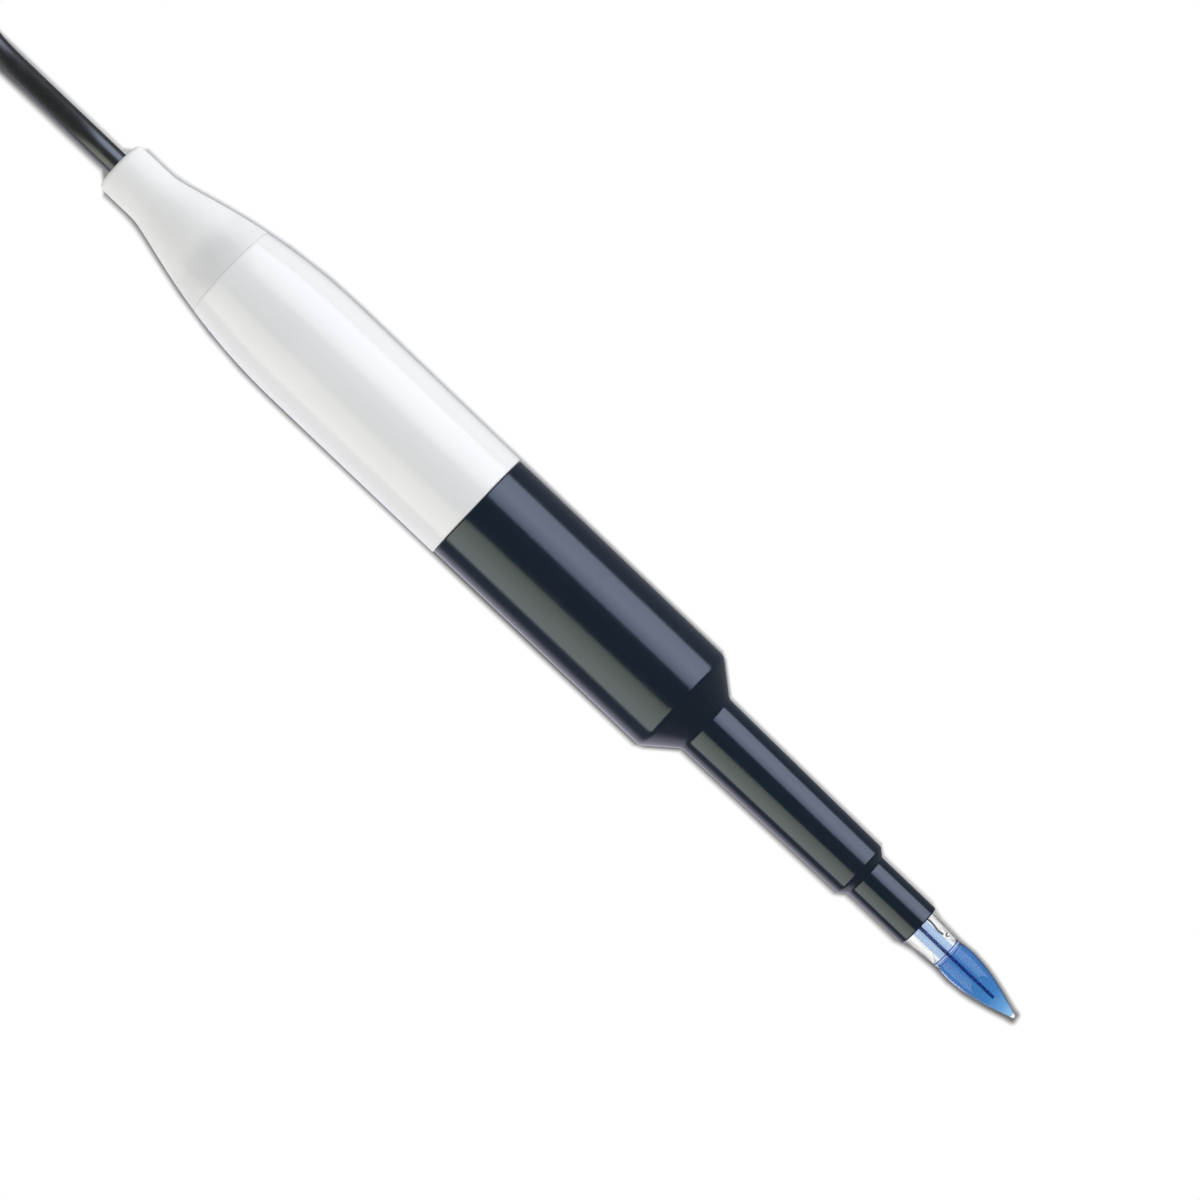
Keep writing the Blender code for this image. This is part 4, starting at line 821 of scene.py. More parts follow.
def swept(
    name: str, path: np.ndarray, radius: float, sides: int, flat: float = 1.0
) -> bpy.types.Object:
    """Round tube along a path, closed by a pole at each end.

    At a path point P with the direction T, the ring is P + r (cos b N + sin b M), where N is the
    cross product of the upright and T, and M the cross product of T and N.

    Args:
        name: name of the object.
        path: points in millimetres.
        radius: radius of the tube.
        sides: steps round the tube.
        flat: factor on the ring's height.

    Returns:
        The object, whose UV map holds millimetres along the tube and the share round it.
    """
    direction = np.gradient(path, axis=0)
    direction /= np.linalg.norm(direction, axis=1, keepdims=True)
    side = np.cross(np.array([0.0, 0.0, 1.0]), direction)
    side /= np.linalg.norm(side, axis=1, keepdims=True)
    up = np.cross(direction, side)
    b = (np.arange(sides) / sides * math.tau)[None, :, None]
    size = np.full(len(path), radius)
    edge = np.array([0.0, 0.72, 0.93])
    size = np.concatenate([edge * radius, size, edge[::-1] * radius])[:, None, None]
    rows = np.concatenate([np.zeros(3, int), np.arange(len(path)), np.full(3, len(path) - 1)])
    ring = np.cos(b) * side[rows, None] + flat * np.sin(b) * up[rows, None]
    steps = np.linalg.norm(np.diff(path, axis=0), axis=1)
    length = np.concatenate([[0.0], np.cumsum(steps)])
    return surface_object(name, path[rows, None] + size * ring, False, length[rows])


def through(points: Sequence[Sequence[float]], per: int = 16) -> np.ndarray:
    """Catmull-Rom curve through points: each span blends its four nearest points by cubic weights.

    Args:
        points: points on the curve.
        per: points of each span.

    Returns:
        The curve's points.
    """
    p = np.asarray(points, float)
    p = np.vstack([2 * p[0] - p[1], p, 2 * p[-1] - p[-2]])
    a, b, c, d = p[:-3, None], p[1:-2, None], p[2:-1, None], p[3:, None]
    t = (np.arange(per) / per)[None, :, None]
    linear = (c - a) * t
    square = (2 * a - 5 * b + 4 * c - d) * t**2
    cube = (3 * b - 3 * c + d - a) * t**3
    curve = (b + (linear + square + cube) / 2).reshape(-1, p.shape[1])
    return np.vstack([curve, p[-2]])


def spaced(path: np.ndarray, step: float) -> np.ndarray:
    """Points at an even distance along a path.

    Args:
        path: points of the path.
        step: distance between two points.

    Returns:
        The points.
    """
    gaps = np.linalg.norm(np.diff(path, axis=0), axis=1)
    length = np.concatenate([[0.0], np.cumsum(gaps)])
    places = np.linspace(0.0, length[-1], max(2, round(length[-1] / step) + 1))
    return np.stack([np.interp(places, length, path[:, i]) for i in range(path.shape[1])], axis=1)


def bezier(points: Sequence[tuple[float, float]], count: int) -> np.ndarray:
    """Cubic Bezier curve: the points weighted by (1-t)^3, 3(1-t)^2 t, 3(1-t) t^2 and t^3.

    Args:
        points: start, two points that pull the curve, and end.
        count: number of steps.

    Returns:
        The curve's points.
    """
    t = np.linspace(0.0, 1.0, count + 1)[:, None]
    a, b, c, d = np.asarray(points, float)
    return (1 - t) ** 3 * a + 3 * (1 - t) ** 2 * t * b + 3 * (1 - t) * t**2 * c + t**3 * d


def block(name: str, centre: Triple, size: Triple, edge: float) -> bpy.types.Object:
    """Box with round edges.

    A cube of points p in [-1, 1] is pushed to centre + (size/2 - edge) sign(p) + edge p/|p|, on
    a grid of latitude and longitude, so flats and round edges come from one formula.

    Args:
        name: name of the object.
        centre: middle of the box.
        size: lengths of the box along X, Y and Z.
        edge: radius of its edges.

    Returns:
        The object.
    """
    a = np.linspace(-math.pi / 2, math.pi / 2, 22)
    b = np.arange(44) / 44 * math.tau + math.pi / 44
    latitude, longitude = np.meshgrid(a, b, indexing="ij")
    ball = np.stack(
        [np.cos(latitude) * np.cos(longitude), np.cos(latitude) * np.sin(longitude), np.sin(latitude)],
        axis=-1,
    )
    ball[0, :, :2] = 0.0
    ball[-1, :, :2] = 0.0
    grid = np.array(centre) + (np.array(size) / 2 - edge) * np.sign(np.round(ball, 9)) + edge * ball
    return surface_object(name, grid, wrap_rows=False)


def signed_power(value: np.ndarray, power: float) -> np.ndarray:
    """Power of the size of a value, with the value's sign."""
    return np.sign(value) * np.abs(value) ** power


def carved(piece: bpy.types.Object, tools: Sequence[bpy.types.Object]) -> None:
    """Cuts other objects out of a piece with exact Booleans and removes those objects.

    Args:
        piece: object that is cut.
        tools: objects that cut it.
    """
    for tool in tools:
        modifier = piece.modifiers.new(tool.name, "BOOLEAN")
        modifier.solver = "EXACT"
        modifier.operation = "DIFFERENCE"
        modifier.object = tool
    evaluated = piece.evaluated_get(bpy.context.evaluated_depsgraph_get())
    mesh = bpy.data.meshes.new_from_object(evaluated)
    piece.modifiers.clear()
    piece.data = mesh
    for tool in tools:
        bpy.data.objects.remove(tool, do_unlink=True)
    weld(mesh)


def joined(name: str, parts: Sequence[bpy.types.Object]) -> bpy.types.Object:
    """Joins objects that lie in one another's reach into one object.

    Args:
        name: name of the object.
        parts: objects, which are removed.

    Returns:
        The joined object.
    """
    shape = bmesh.new()
    for part in parts:
        shape.from_mesh(part.data)
        bpy.data.objects.remove(part, do_unlink=True)
    mesh = bpy.data.meshes.new(name)
    shape.to_mesh(mesh)
    shape.free()
    return linked(name, mesh)


def dress(
    piece: bpy.types.Object, finish: Finish, nodes: Sequence[str], body: Body = Body.ELECTRODE
) -> bpy.types.Object:
    """Gives a piece its finish, its body and the CAD nodes that it stands for.

    Args:
        piece: finished object.
        finish: its finish.
        nodes: CAD nodes that it replaces.
        body: body that it rides on.

    Returns:
        The same object.
    """
    piece.data.materials.clear()
    piece.data.materials.append(finish.material())
    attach(piece, body.value)
    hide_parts(*nodes)
    log.info("%s: %d faces, stands for %s", piece.name, len(piece.data.polygons), ", ".join(nodes))
    return piece


@dataclass
class Cap:
    """White cap: matte strain relief boot and glossy sleeve on one flared outline."""

    end_x: float = -HALF_LENGTH
    length: float = 60.0
    radius: float = 7.75
    relief: float = 18.7
    neck_radius: float = 3.55
    neck_length: float = 5.4
    flare_length: float = 27.6
    start_pull: float = 3.0
    end_pull: float = 15.5
    edge: float = 0.3
    cable_bore: float = 1.8
    spigot_radius: float = 3.0
    spigot_length: float = 8.7
    bore: float = 6.55
    floor: float = 4.0
    play: float = 0.05
    end_play: float = 0.3
    seam_gap: float = 0.05
    seam_lip: float = 0.015
    seam_bevel: float = 0.025
    seam_depth: float = 0.07

    def outside(self, first: float, last: float, count: int) -> np.ndarray:
        """Points of the flare between two distances from the cable end, read from its Bezier curve.

        Args:
            first: distance from the cable end at which they begin.
            last: distance from the cable end at which they end.
            count: number of steps.

        Returns:
            Points (x, radius).
        """
        end = self.neck_length + self.flare_length
        curve = bezier(
            [
                (self.neck_length, self.neck_radius),
                (self.neck_length + self.start_pull, self.neck_radius),
                (end - self.end_pull, self.radius), (end, self.radius),
            ],
            400,
        )
        distance = np.linspace(first, last, count + 1)
        radius = np.interp(distance, curve[:, 0], curve[:, 1])
        return np.stack([self.end_x + distance, radius], axis=1)

    def boot(self) -> bpy.types.Object:
        """Matte boot with its round cable end.

        Returns:
            The piece.
        """
        seam = self.end_x + self.relief
        flare = self.outside(self.neck_length, self.relief - self.seam_gap, 40)
        front = rounded(
            [
                (self.end_x, self.cable_bore, 0.15), (self.end_x, self.neck_radius, 1.0),
                (self.end_x + self.neck_length, self.neck_radius),
            ],
            10,
        )
        recess_x, recess = seam - self.spigot_length - self.end_play, self.spigot_radius + self.play
        rim = flare[-1, 1]
        inside = np.array(
            [
                (seam - self.seam_lip, rim - self.seam_bevel), (seam, rim - self.seam_depth),
                (seam, recess), (recess_x, recess), (recess_x, self.cable_bore),
            ]
        )
        return revolved("boot_of_cap", np.vstack([front[:-1], flare, inside]), sides=128)

    def sleeve(self) -> bpy.types.Object:
        """Glossy sleeve with the spigot for the boot and the bore for the shell.

        Returns:
            The piece.
        """
        seam = self.end_x + self.relief
        joint = self.end_x + self.length
        end = self.neck_length + self.flare_length
        flare = self.outside(self.relief + self.seam_gap, end, 56)
        rim = flare[0, 1]
        rear = np.array(
            [
                (seam - self.spigot_length, self.spigot_radius), (seam, self.spigot_radius),
                (seam, rim - self.seam_depth), (seam + self.seam_lip, rim - self.seam_bevel),
            ]
        )
        wall = self.radius - self.bore
        front = rounded(
            [(self.end_x + end, self.radius), (joint, self.radius, self.edge), (joint, self.bore, 0.1)]
        )[1:]
        inner = self.outside(self.relief + self.floor, end, 3)[::-1] - (0.0, wall)
        floor_x = seam + self.floor
        close = np.array([(floor_x, self.cable_bore), (seam - self.spigot_length, self.cable_bore)])
        outline = np.vstack([rear, flare, front, inner, close])
        return revolved("sleeve_of_cap", outline, sides=160)

    def build(self) -> None:
        """Builds and dresses both pieces."""
        dress(self.boot(), BOOT_SATIN, ["strain_relief_boot"])
        dress(self.sleeve(), CAP_GLOSS, ["cap_sleeve"])


@dataclass
class Shell:
    """Dark stepped body shell."""

    joint_x: float = -15.0
    rear_radius: float = 7.55
    front_radius: float = 7.5
    shoulder_x: float = 19.2
    cone_end_x: float = 23.3
    narrow_rear: float = 4.15
    step_x: float = 49.0
    narrow_front: float = 3.85
    nose_x: float = 50.0
    end_x: float = 59.0
    nose_radius: float = 3.0
    plug_in: float = 12.0
    spigot: float = 6.5
    bore: float = 5.2
    narrow_bore: float = 2.8
    nose_bore: float = 2.45
    bore_cone: float = 2.0
    groove_at: float = 5.0
    groove_width: float = 1.3
    groove_depth: float = 0.95

    def build(self) -> None:
        """Builds the shell from one closed outline."""
        rear = self.joint_x - self.plug_in
        groove = rear + self.groove_at
        floor = self.spigot - self.groove_depth
        corners = [
            (rear, self.spigot, 0.3), (groove, self.spigot, 0.05), (groove, floor),
            (groove + self.groove_width, floor), (groove + self.groove_width, self.spigot, 0.05),
            (self.joint_x, self.spigot), (self.joint_x, self.rear_radius, 0.25),
            (self.shoulder_x, self.front_radius, 0.5), (self.cone_end_x, self.narrow_rear, 0.5),
            (self.step_x, self.narrow_front, 0.25), (self.nose_x, self.nose_radius, 0.25),
            (self.end_x, self.nose_radius, 0.3), (self.end_x, self.nose_bore, 0.12),
            (self.nose_x, self.nose_bore), (self.nose_x, self.narrow_bore),
            (self.shoulder_x + self.bore_cone, self.narrow_bore, 0.5),
            (self.shoulder_x - self.bore_cone, self.bore, 0.5), (rear, self.bore, 0.2),
        ]
        shell = revolved("dark_shell", rounded(corners, 8), sides=192)
        dress(shell, SHELL_DARK, ["body_shell"])


@dataclass
class GlassTip:
    """Glass electrode: outer tube, stem, bulb with its fused rim, gels, wires and junction."""

    tip_x: float = HALF_LENGTH
    bulb_length: float = 10.9
    rim_radius: float = 2.1
    flange: float = 0.6
    tube_radius: float = 2.4
    tube_wall: float = 0.5
    tube_rear_x: float = -4.5
    shell_end_x: float = 59.0
    bore_end_x: float = 56.0
    stem_radius: float = 0.9
    stem_wall: float = 0.1
    stem_rear_x: float = -9.5
    trumpet_length: float = 1.5
    trumpet_curve: float = 2.2
    trumpet_play: float = 0.05
    bulb_pull: tuple[tuple[float, float], ...] = ((3.0, 2.68), (7.2, 1.62))
    bulb_wall: float = 0.12
    rim_wall: float = 0.06
    buffer_rear_x: float = 5.5
    filling_rear_x: float = 11.5
    solid_point: float = 0.42
    point_radius: float = 0.25
    gap: float = 0.02
    wire_radius: float = 0.16
    wire_rear_x: float = -14.85
    wire_end: float = 3.6
    reference_radius: float = 0.13
    reference_offset: float = 1.33
    reference_end: float = 0.4
    reference_lead: tuple[tuple[float, float], ...] = (
        (-14.85, 2.4), (-11.3, 2.4), (-7.7, 1.36), (-5.0, 1.33), (20.0, 1.33),
    )
    wave: float = 0.1
    wave_length: float = 2.6
    junction_radius: float = 0.25
    junction_from_flange: float = 1.4

    @property
    def rim_x(self) -> float:
        """Place at which the bulb begins."""
        return self.tip_x - self.bulb_length

    @property
    def flange_x(self) -> float:
        """Place at which the outer tube meets the fused rim."""
        return self.rim_x - self.flange

    def tube_line(self, inset: float, rear: float, count: int = 12) -> np.ndarray:
        """Outline of the outer tube moved inwards, straight in the shell and tapered in front of it.

        Args:
            inset: distance of the outline from the surface.
            rear: place of its rear end.
            count: number of steps.

        Returns:
            Points (x, radius).
        """
        share = np.linspace(0.0, 1.0, count + 1)
        x = self.shell_end_x + share * (self.flange_x - self.shell_end_x)
        ease = share**2 * (3 - 2 * share)
        radius = self.tube_radius + ease * (self.rim_radius - self.tube_radius) - inset
        return np.vstack([(rear, self.tube_radius - inset), np.stack([x, radius], axis=1)])

    def trumpet(self, inset: float, count: int = 14) -> np.ndarray:
        """Flared end of the stem: the radius grows with a power of the share of its length.

        Args:
            inset: distance of the outline from the surface.
            count: number of steps.

        Returns:
            Points (x, radius).
        """
        share = np.linspace(0.0, 1.0, count + 1)
        mouth = self.rim_radius - self.tube_wall - self.trumpet_play
        start = self.stem_radius - inset
        radius = start + (mouth - inset - start) * share**self.trumpet_curve
        x = self.flange_x - self.trumpet_length * (1 - share)
        return np.stack([x, radius], axis=1)

    def bulb_line(self, inset: float, count: int = 48) -> np.ndarray:
        """Outline of the bulb from its rim to the axis, moved inwards by an inset.

        Args:
            inset: distance of the outline from the surface.
            count: number of steps.

        Returns:
            Points (x, radius).
        """
        end = self.bulb_length - self.point_radius
        curve = bezier([(0.0, self.rim_radius), *self.bulb_pull, (end, self.point_radius)], count)
        if inset <= 0:
            a = np.linspace(0.0, math.pi / 2, 7)[1:]
            nose = np.stack([end + self.point_radius * np.sin(a), self.point_radius * np.cos(a)], axis=1)
            nose[-1, 1] = 0.0
            return np.vstack([curve, nose]) + (self.rim_x, 0.0)
        reach = self.bulb_length - self.solid_point
        share = np.linspace(0.0, 1.0, count + 1)[:, None]
        inner = curve * (reach / end, 1.0) - (0.0, inset) * (1 - share**4)
        inner[-1, 1] = 0.0
        return inner + (self.rim_x, 0.0)

    def outer_tube(self) -> bpy.types.Object:
        """Clear outer tube, solid where it is seen, so that it acts as the lens of glass and gel.

        Returns:
            The piece.
        """
        outside = self.tube_line(0.0, self.tube_rear_x)
        outside[-1, 0] -= self.gap
        step, bore = self.bore_end_x, self.tube_radius - self.tube_wall
        inside = [(outside[-1, 0], 0.0), (step, 0.0), (step, bore), (self.tube_rear_x, bore)]
        return revolved("clear_outer_tube", np.vstack([outside, inside]), sides=96)

    def stem(self) -> bpy.types.Object:
        """Stem with its flared end.

        Returns:
            The piece.
        """
        outside, inside = (
            np.vstack([(self.stem_rear_x, self.stem_radius - inset), self.trumpet(inset)])
            for inset in (0.0, self.stem_wall)
        )
        return revolved("flared_stem", np.vstack([outside, inside[::-1]]), sides=96)

    def bulb(self) -> bpy.types.Object:
        """Bulb with the fused rim behind it, one lens of membrane glass and gel, with its solid point.

        Returns:
            The piece.
        """
        rim = rounded(
            [
                (self.flange_x, 0.0), (self.flange_x, self.rim_radius, 0.08),
                (self.rim_x - 0.05, self.rim_radius, 0.05),
                (self.rim_x, self.rim_radius - 0.04, 0.04),
            ]
        )
        return revolved("membrane_bulb", np.vstack([rim, self.bulb_line(0.0)[1:]]), sides=96)

    def buffer(self) -> bpy.types.Object:
        """Blue gel of stem, fused rim and bulb.

        Returns:
            The piece.
        """
        rear, start = self.buffer_rear_x, self.flange_x + self.rim_wall
        neck = self.stem_radius - self.stem_wall - self.gap
        wide = self.rim_radius - self.bulb_wall - self.gap
        outside = [(rear, 0.0), (rear, neck), (start, neck), (start + self.rim_wall, wide)]
        bulb = self.bulb_line(self.bulb_wall + self.gap)
        return revolved("blue_buffer", np.vstack([outside, bulb]), sides=96)

    def reference_filling(self) -> bpy.types.Object:
        """Clear gel between stem and outer tube, up to where the tube is drawn as one lens.

        Returns:
            The piece.
        """
        rear, front = self.filling_rear_x, self.bore_end_x - self.gap
        high, low = self.tube_radius - self.tube_wall - self.gap, self.stem_radius + self.gap
        outline = rounded([(rear, low), (rear, high), (front, high, 0.2), (front, low)])
        return revolved("clear_reference_filling", np.vstack([outline, (rear, low)]), sides=96)

    def beside(self, x: np.ndarray, offset: np.ndarray) -> np.ndarray:
        """Points at an offset from the axis, on the side of the junction.

        Args:
            x: places along X.
            offset: distance of each point from the axis.

        Returns:
            Points in space.
        """
        y = offset * math.sin(JUNCTION_ANGLE)
        z = AXIS_Z + offset * math.cos(JUNCTION_ANGLE)
        return np.stack([x, y, z], axis=1)

    def reference_wire(self) -> bpy.types.Object:
        """Thin wire: straight in the shell, then a sine wave in front of it.

        Returns:
            The piece.
        """
        end = self.flange_x - self.junction_from_flange - self.reference_end
        start = self.shell_end_x - self.wave_length
        x = np.linspace(start, end, 60)
        offset = self.reference_offset + self.wave * np.sin((x - start) / self.wave_length * math.tau)
        line = np.vstack([through(self.reference_lead, 8), np.stack([x, offset], axis=1)])
        path = self.beside(line[:, 0], line[:, 1])
        return swept("wavy_reference_wire", path, self.reference_radius, 12)

    def measuring_wire(self) -> bpy.types.Object:
        """Straight wire on the axis with a round end in the bulb.

        Returns:
            The piece.
        """
        rear, end, radius = self.wire_rear_x, self.tip_x - self.wire_end, self.wire_radius
        outline = rounded([(rear, 0.0), (rear, radius), (end, radius, 0.15), (end, 0.0)])
        return revolved("straight_measuring_wire", outline, sides=24)

    def junction(self) -> bpy.types.Object:
        """Round ceramic pin through the tube's wall, facing away from the axis.

        Returns:
            The piece.
        """
        x = self.flange_x - self.junction_from_flange
        high = float(np.interp(x, *self.tube_line(0.0, 0.0).T))
        outline = rounded(
            [
                (high - self.tube_wall, 0.0), (high - self.tube_wall, self.junction_radius, 0.03),
                (high, self.junction_radius, 0.05), (high, 0.0),
            ]
        )
        b = np.arange(32) / 32 * math.tau
        height, radius = outline[:, :1], outline[:, 1:]
        out = np.array([0.0, math.sin(JUNCTION_ANGLE), math.cos(JUNCTION_ANGLE)])
        round_ = np.array([0.0, math.cos(JUNCTION_ANGLE), -math.sin(JUNCTION_ANGLE)])
        grid = height[..., None] * out + (radius * np.cos(b))[..., None] * (1.0, 0.0, 0.0)
        grid = grid + (radius * np.sin(b))[..., None] * round_ + (x, 0.0, AXIS_Z)
        return surface_object("junction_pin", grid, wrap_rows=False)

    def build(self) -> None:
        """Builds and dresses all pieces of the glass tip."""
        dress(self.outer_tube(), TUBE_GLASS, ["outer_glass_tube"])
        dress(self.stem(), STEM_GLASS, ["inner_stem_tube"])
        dress(self.bulb(), MEMBRANE, ["sensing_bulb"])
        dress(self.buffer(), BLUE_GEL, ["buffer_gel"])
        dress(self.reference_filling(), REFERENCE_GEL, ["reference_gel"])
        dress(self.reference_wire(), GREY_SILVER, ["reference_wire"])
        dress(self.measuring_wire(), CHLORIDED_WIRE_PAINTED_LIGHT, ["measuring_wire"])
        dress(self.junction(), CERAMIC, ["junction_frit"])


@dataclass
class Hank:
    """The cable wound in a figure of two round lobes and a waist, four layers high."""

    centre_x: float = -132.2
    diameter: float = 3.0
    lobe_radius: float = 12.3
    lobe_centre: float = 14.4
    waist_solid: float = 9.4
    lobe_solid: float = 13.8
    first_height: float = 1.6
    lift: float = 1.0
    turns: int = 7
    last_turn: float = 0.26
    slots: tuple[tuple[int, int], ...] = (
        (0, 0), (1, 0), (1, 1), (0, 1), (0, 2), (1, 2), (1, 3), (0, 3),
    )
    change_at: float = 128.0
    change_gap: float = 8.5
    change_length: float = 20.0
    rise_reach: float = 28.0

    def outline(self) -> tuple[np.ndarray, np.ndarray, np.ndarray]:
        """Outer centre line from the near lobe's top: points, inward normals and lengths.

        Two arcs of the lobe radius about (+-c, 0) join two hollow arcs about (0, +-h), where the
        hollow radius follows from the half width of the waist.

        Returns:
            Points, inward normals, and the length up to each point.
        """
        reach, waist = self.lobe_centre, self.waist_solid
        hollow = (reach**2 + waist**2 - self.lobe_solid**2) / (2 * (self.lobe_solid - waist))
        height = waist + hollow
        bend = hollow + self.diameter / 2
        turn = math.asin(reach / (self.lobe_solid + hollow))
        quarter = math.pi / 2

        def lobe(x: float, start: float, end: float) -> np.ndarray:
            """Points and normals of an arc about (x, 0).

            Args:
                x: middle of the arc.
                start: first angle.
                end: last angle.

            Returns:
                A row for each point, with its normal behind it.
            """
            a = np.linspace(start, end, 400)
            circle = np.stack([np.cos(a), np.sin(a)], axis=1)
            return np.hstack([(x, 0.0) + self.lobe_radius * circle, -circle])

        def dip(side: float, start: float, end: float) -> np.ndarray:
            """Points and normals of a hollow arc above or below the waist.

            Args:
                side: 1 above the waist and -1 below it.
                start: first angle.
                end: last angle.

            Returns:
                A row for each point, with its normal behind it.
            """
            a = np.linspace(start, end, 200)
            arm = np.stack([np.sin(a), -side * np.cos(a)], axis=1)
            return np.hstack([(0.0, side * height) + bend * arm, arm])

        line = np.vstack(
            [
                lobe(reach, quarter, quarter + turn),
                dip(1.0, turn, -turn),
                lobe(-reach, quarter - turn, 3 * quarter + turn),
                dip(-1.0, -turn, turn),
                lobe(reach, -quarter - turn, quarter),
            ]
        )
        step = np.linalg.norm(np.diff(line[:, :2], axis=0), axis=1)
        keep = np.concatenate([[True], step > TINY])
        line = line[keep]
        step = np.linalg.norm(np.diff(line[:, :2], axis=0), axis=1)
        return line[:, :2], line[:, 2:], np.concatenate([[0.0], np.cumsum(step)])

    def path(self, per_turn: int = 140) -> np.ndarray:
        """Centre line of the wound cable.

        Turn k runs in the slot (column, layer) k, a diameter inwards for each column and upwards
        for each layer. Late in each turn a half cosine moves it over to the next slot. At the
        waist all strands rise by the lift, in a cosine, over the strap of the tie.

        Args:
            per_turn: points of each turn.

        Returns:
            The points.
        """
        points, normals, length = self.outline()
        share = np.arange(0, round((self.turns + self.last_turn) * per_turn) + 1) / per_turn
        turn = np.clip(share.astype(int), 0, self.turns)
        along = (share - turn) * length[-1]
        slots = np.array(self.slots + (self.slots[-1],), float)
        change = (along - (self.change_at - turn * self.change_gap)) / self.change_length + 0.5
        ease = (1 - np.cos(np.pi * np.clip(change, 0.0, 1.0))) / 2
        ease = np.where(turn < self.turns, ease, 0.0)[:, None]
        slot = (slots[turn] * (1 - ease) + slots[turn + 1] * ease) * self.diameter
        base = np.stack([np.interp(along, length, points[:, i]) for i in range(2)], axis=1)
        inward = np.stack([np.interp(along, length, normals[:, i]) for i in range(2)], axis=1)
        flat = base + slot[:, :1] * inward
        rise = self.lift * (1 + np.cos(np.pi * np.clip(flat[:, 0] / self.rise_reach, -1.0, 1.0))) / 2
        height = self.first_height + slot[:, 1] + rise
        return np.column_stack([flat[:, 0] + self.centre_x, flat[:, 1], height])


@dataclass
class Cable:
    """The whole free cable, from the clamp in the cap through the hank to the plug."""

    radius: float = 1.5
    cap_end_x: float = -HALF_LENGTH
    declared: float = 1.03
    sides: int = 20
    step: float = 0.9

    def route(self) -> np.ndarray:
        """Centre line from the clamp to the plug's crimp.

        Returns:
            The points.
        """
        lead = through(
            [
                (-47.8, 0.0, AXIS_Z), (-61.4, 0.0, AXIS_Z), (-75.0, 0.0, AXIS_Z),
                (-80.0, 0.0, AXIS_Z - 0.3), (-86.0, 0.0, AXIS_Z - 2.3), (-92.0, 0.0, AXIS_Z - 4.7),
                (-95.5, 0.0, 2.18), (-97.5, 0.15, 1.88), (-100.0, 0.8, 1.66), (-103.05, 2.39, 1.6),
                (-104.8, 3.87, 1.6), (-106.6, 6.15, 1.62), (-109.3, 9.2, 1.68),
                (-113.3, 11.5, 1.84),
            ]
        )
        wound = Hank().path()
        tail = through(
            [
                (-150.5, 12.3, 10.85), (-156.1, 12.3, 10.6), (-160.1, 11.6, 10.3),
                (-164.1, 9.15, 8.97), (-167.1, 6.3, 7.45), (-172.1, 6.0, 7.35), (-180.7, 6.0, 7.35),
                (-185.7, 6.0, 7.35),
            ]
        )
        path = spaced(np.vstack([spaced(lead, 2.0), wound[1:], spaced(tail, 2.0)]), self.step)
        for _ in range(6):
            path[1:-1] = (path[:-2] + 2 * path[1:-1] + path[2:]) / 4
        return path

    def build(self, pieces_on_it: Sequence[bpy.types.Object]) -> None:
        """Args:
            pieces_on_it: pieces and nodes that lie on the cable; not used.
        """
        path = self.route()
        length = float(np.linalg.norm(np.diff(path, axis=0), axis=1).sum())
        log.info("cable path: %.1f mm", length)
        cable = swept("signal_cable", path, self.radius, self.sides)
        dress(cable, CABLE_SATIN, ["cable_lead", "cable_hank", "cable_tail"])


@dataclass
class HankTie:
    """Moulded tie round the waist of the hank."""

    centre_x: float = -132.2
    half_width: float = 10.03
    low: float = 0.1
    high: float = 13.6
    thickness: float = 0.9
    width: float = 5.0
    head: Triple = (6.4, 5.2, 3.4)
    head_y: float = -3.5
    end_length: float = 6.0
    end_edge: float = 0.35
    overlap: float = 0.5
    loop_power: float = 1.0 / 6.0
    strip_power: float = 0.3

    def band(self) -> bpy.types.Object:
        """Strap: a rounded strip section carried round a rounded rectangle.

        Returns:
            The strap.
        """
        wide, tall = self.half_width + self.thickness / 2, (self.high - self.low) / 2
        middle = (self.high + self.low + self.thickness) / 2
        a = np.arange(96) / 96 * math.tau
        y = wide * signed_power(np.cos(a), self.loop_power)
        z = middle + tall * signed_power(np.sin(a), self.loop_power)
        loop = np.stack([y, z], axis=1)
        direction = np.roll(loop, -1, axis=0) - np.roll(loop, 1, axis=0)
        direction /= np.linalg.norm(direction, axis=1, keepdims=True)
        outward = np.stack([direction[:, 1], -direction[:, 0]], axis=1)
        b = np.arange(24) / 24 * math.tau
        across = self.width / 2 * signed_power(np.cos(b), self.strip_power)
        out = self.thickness / 2 * signed_power(np.sin(b), self.strip_power)
        x = np.broadcast_to(self.centre_x + across, (96, 24))
        ring = loop[:, None] + out[None, :, None] * outward[:, None]
        grid = np.concatenate([x[..., None], ring], axis=-1)
        return surface_object("tie_band", grid, wrap_rows=True)

    def build(self) -> bpy.types.Object:
        """Joins strap, locking head and loose end, and dresses them.

        Returns:
            The piece.
        """
        seat = self.high + self.head[2] / 2
        head = block("tie_head", (self.centre_x, self.head_y, seat), self.head, self.overlap)
        end_y = self.head_y - (self.head[1] + self.end_length) / 2 + self.overlap
        end_z = self.high + self.head[2] - self.thickness
        size = (self.width, self.end_length, self.thickness)
        loose = block("tie_loose_end", (self.centre_x, end_y, end_z), size, self.end_edge)
        tie = joined("moulded_tie", [self.band(), head, loose])
        return dress(tie, TIE_NYLON, ["hank_tie"])


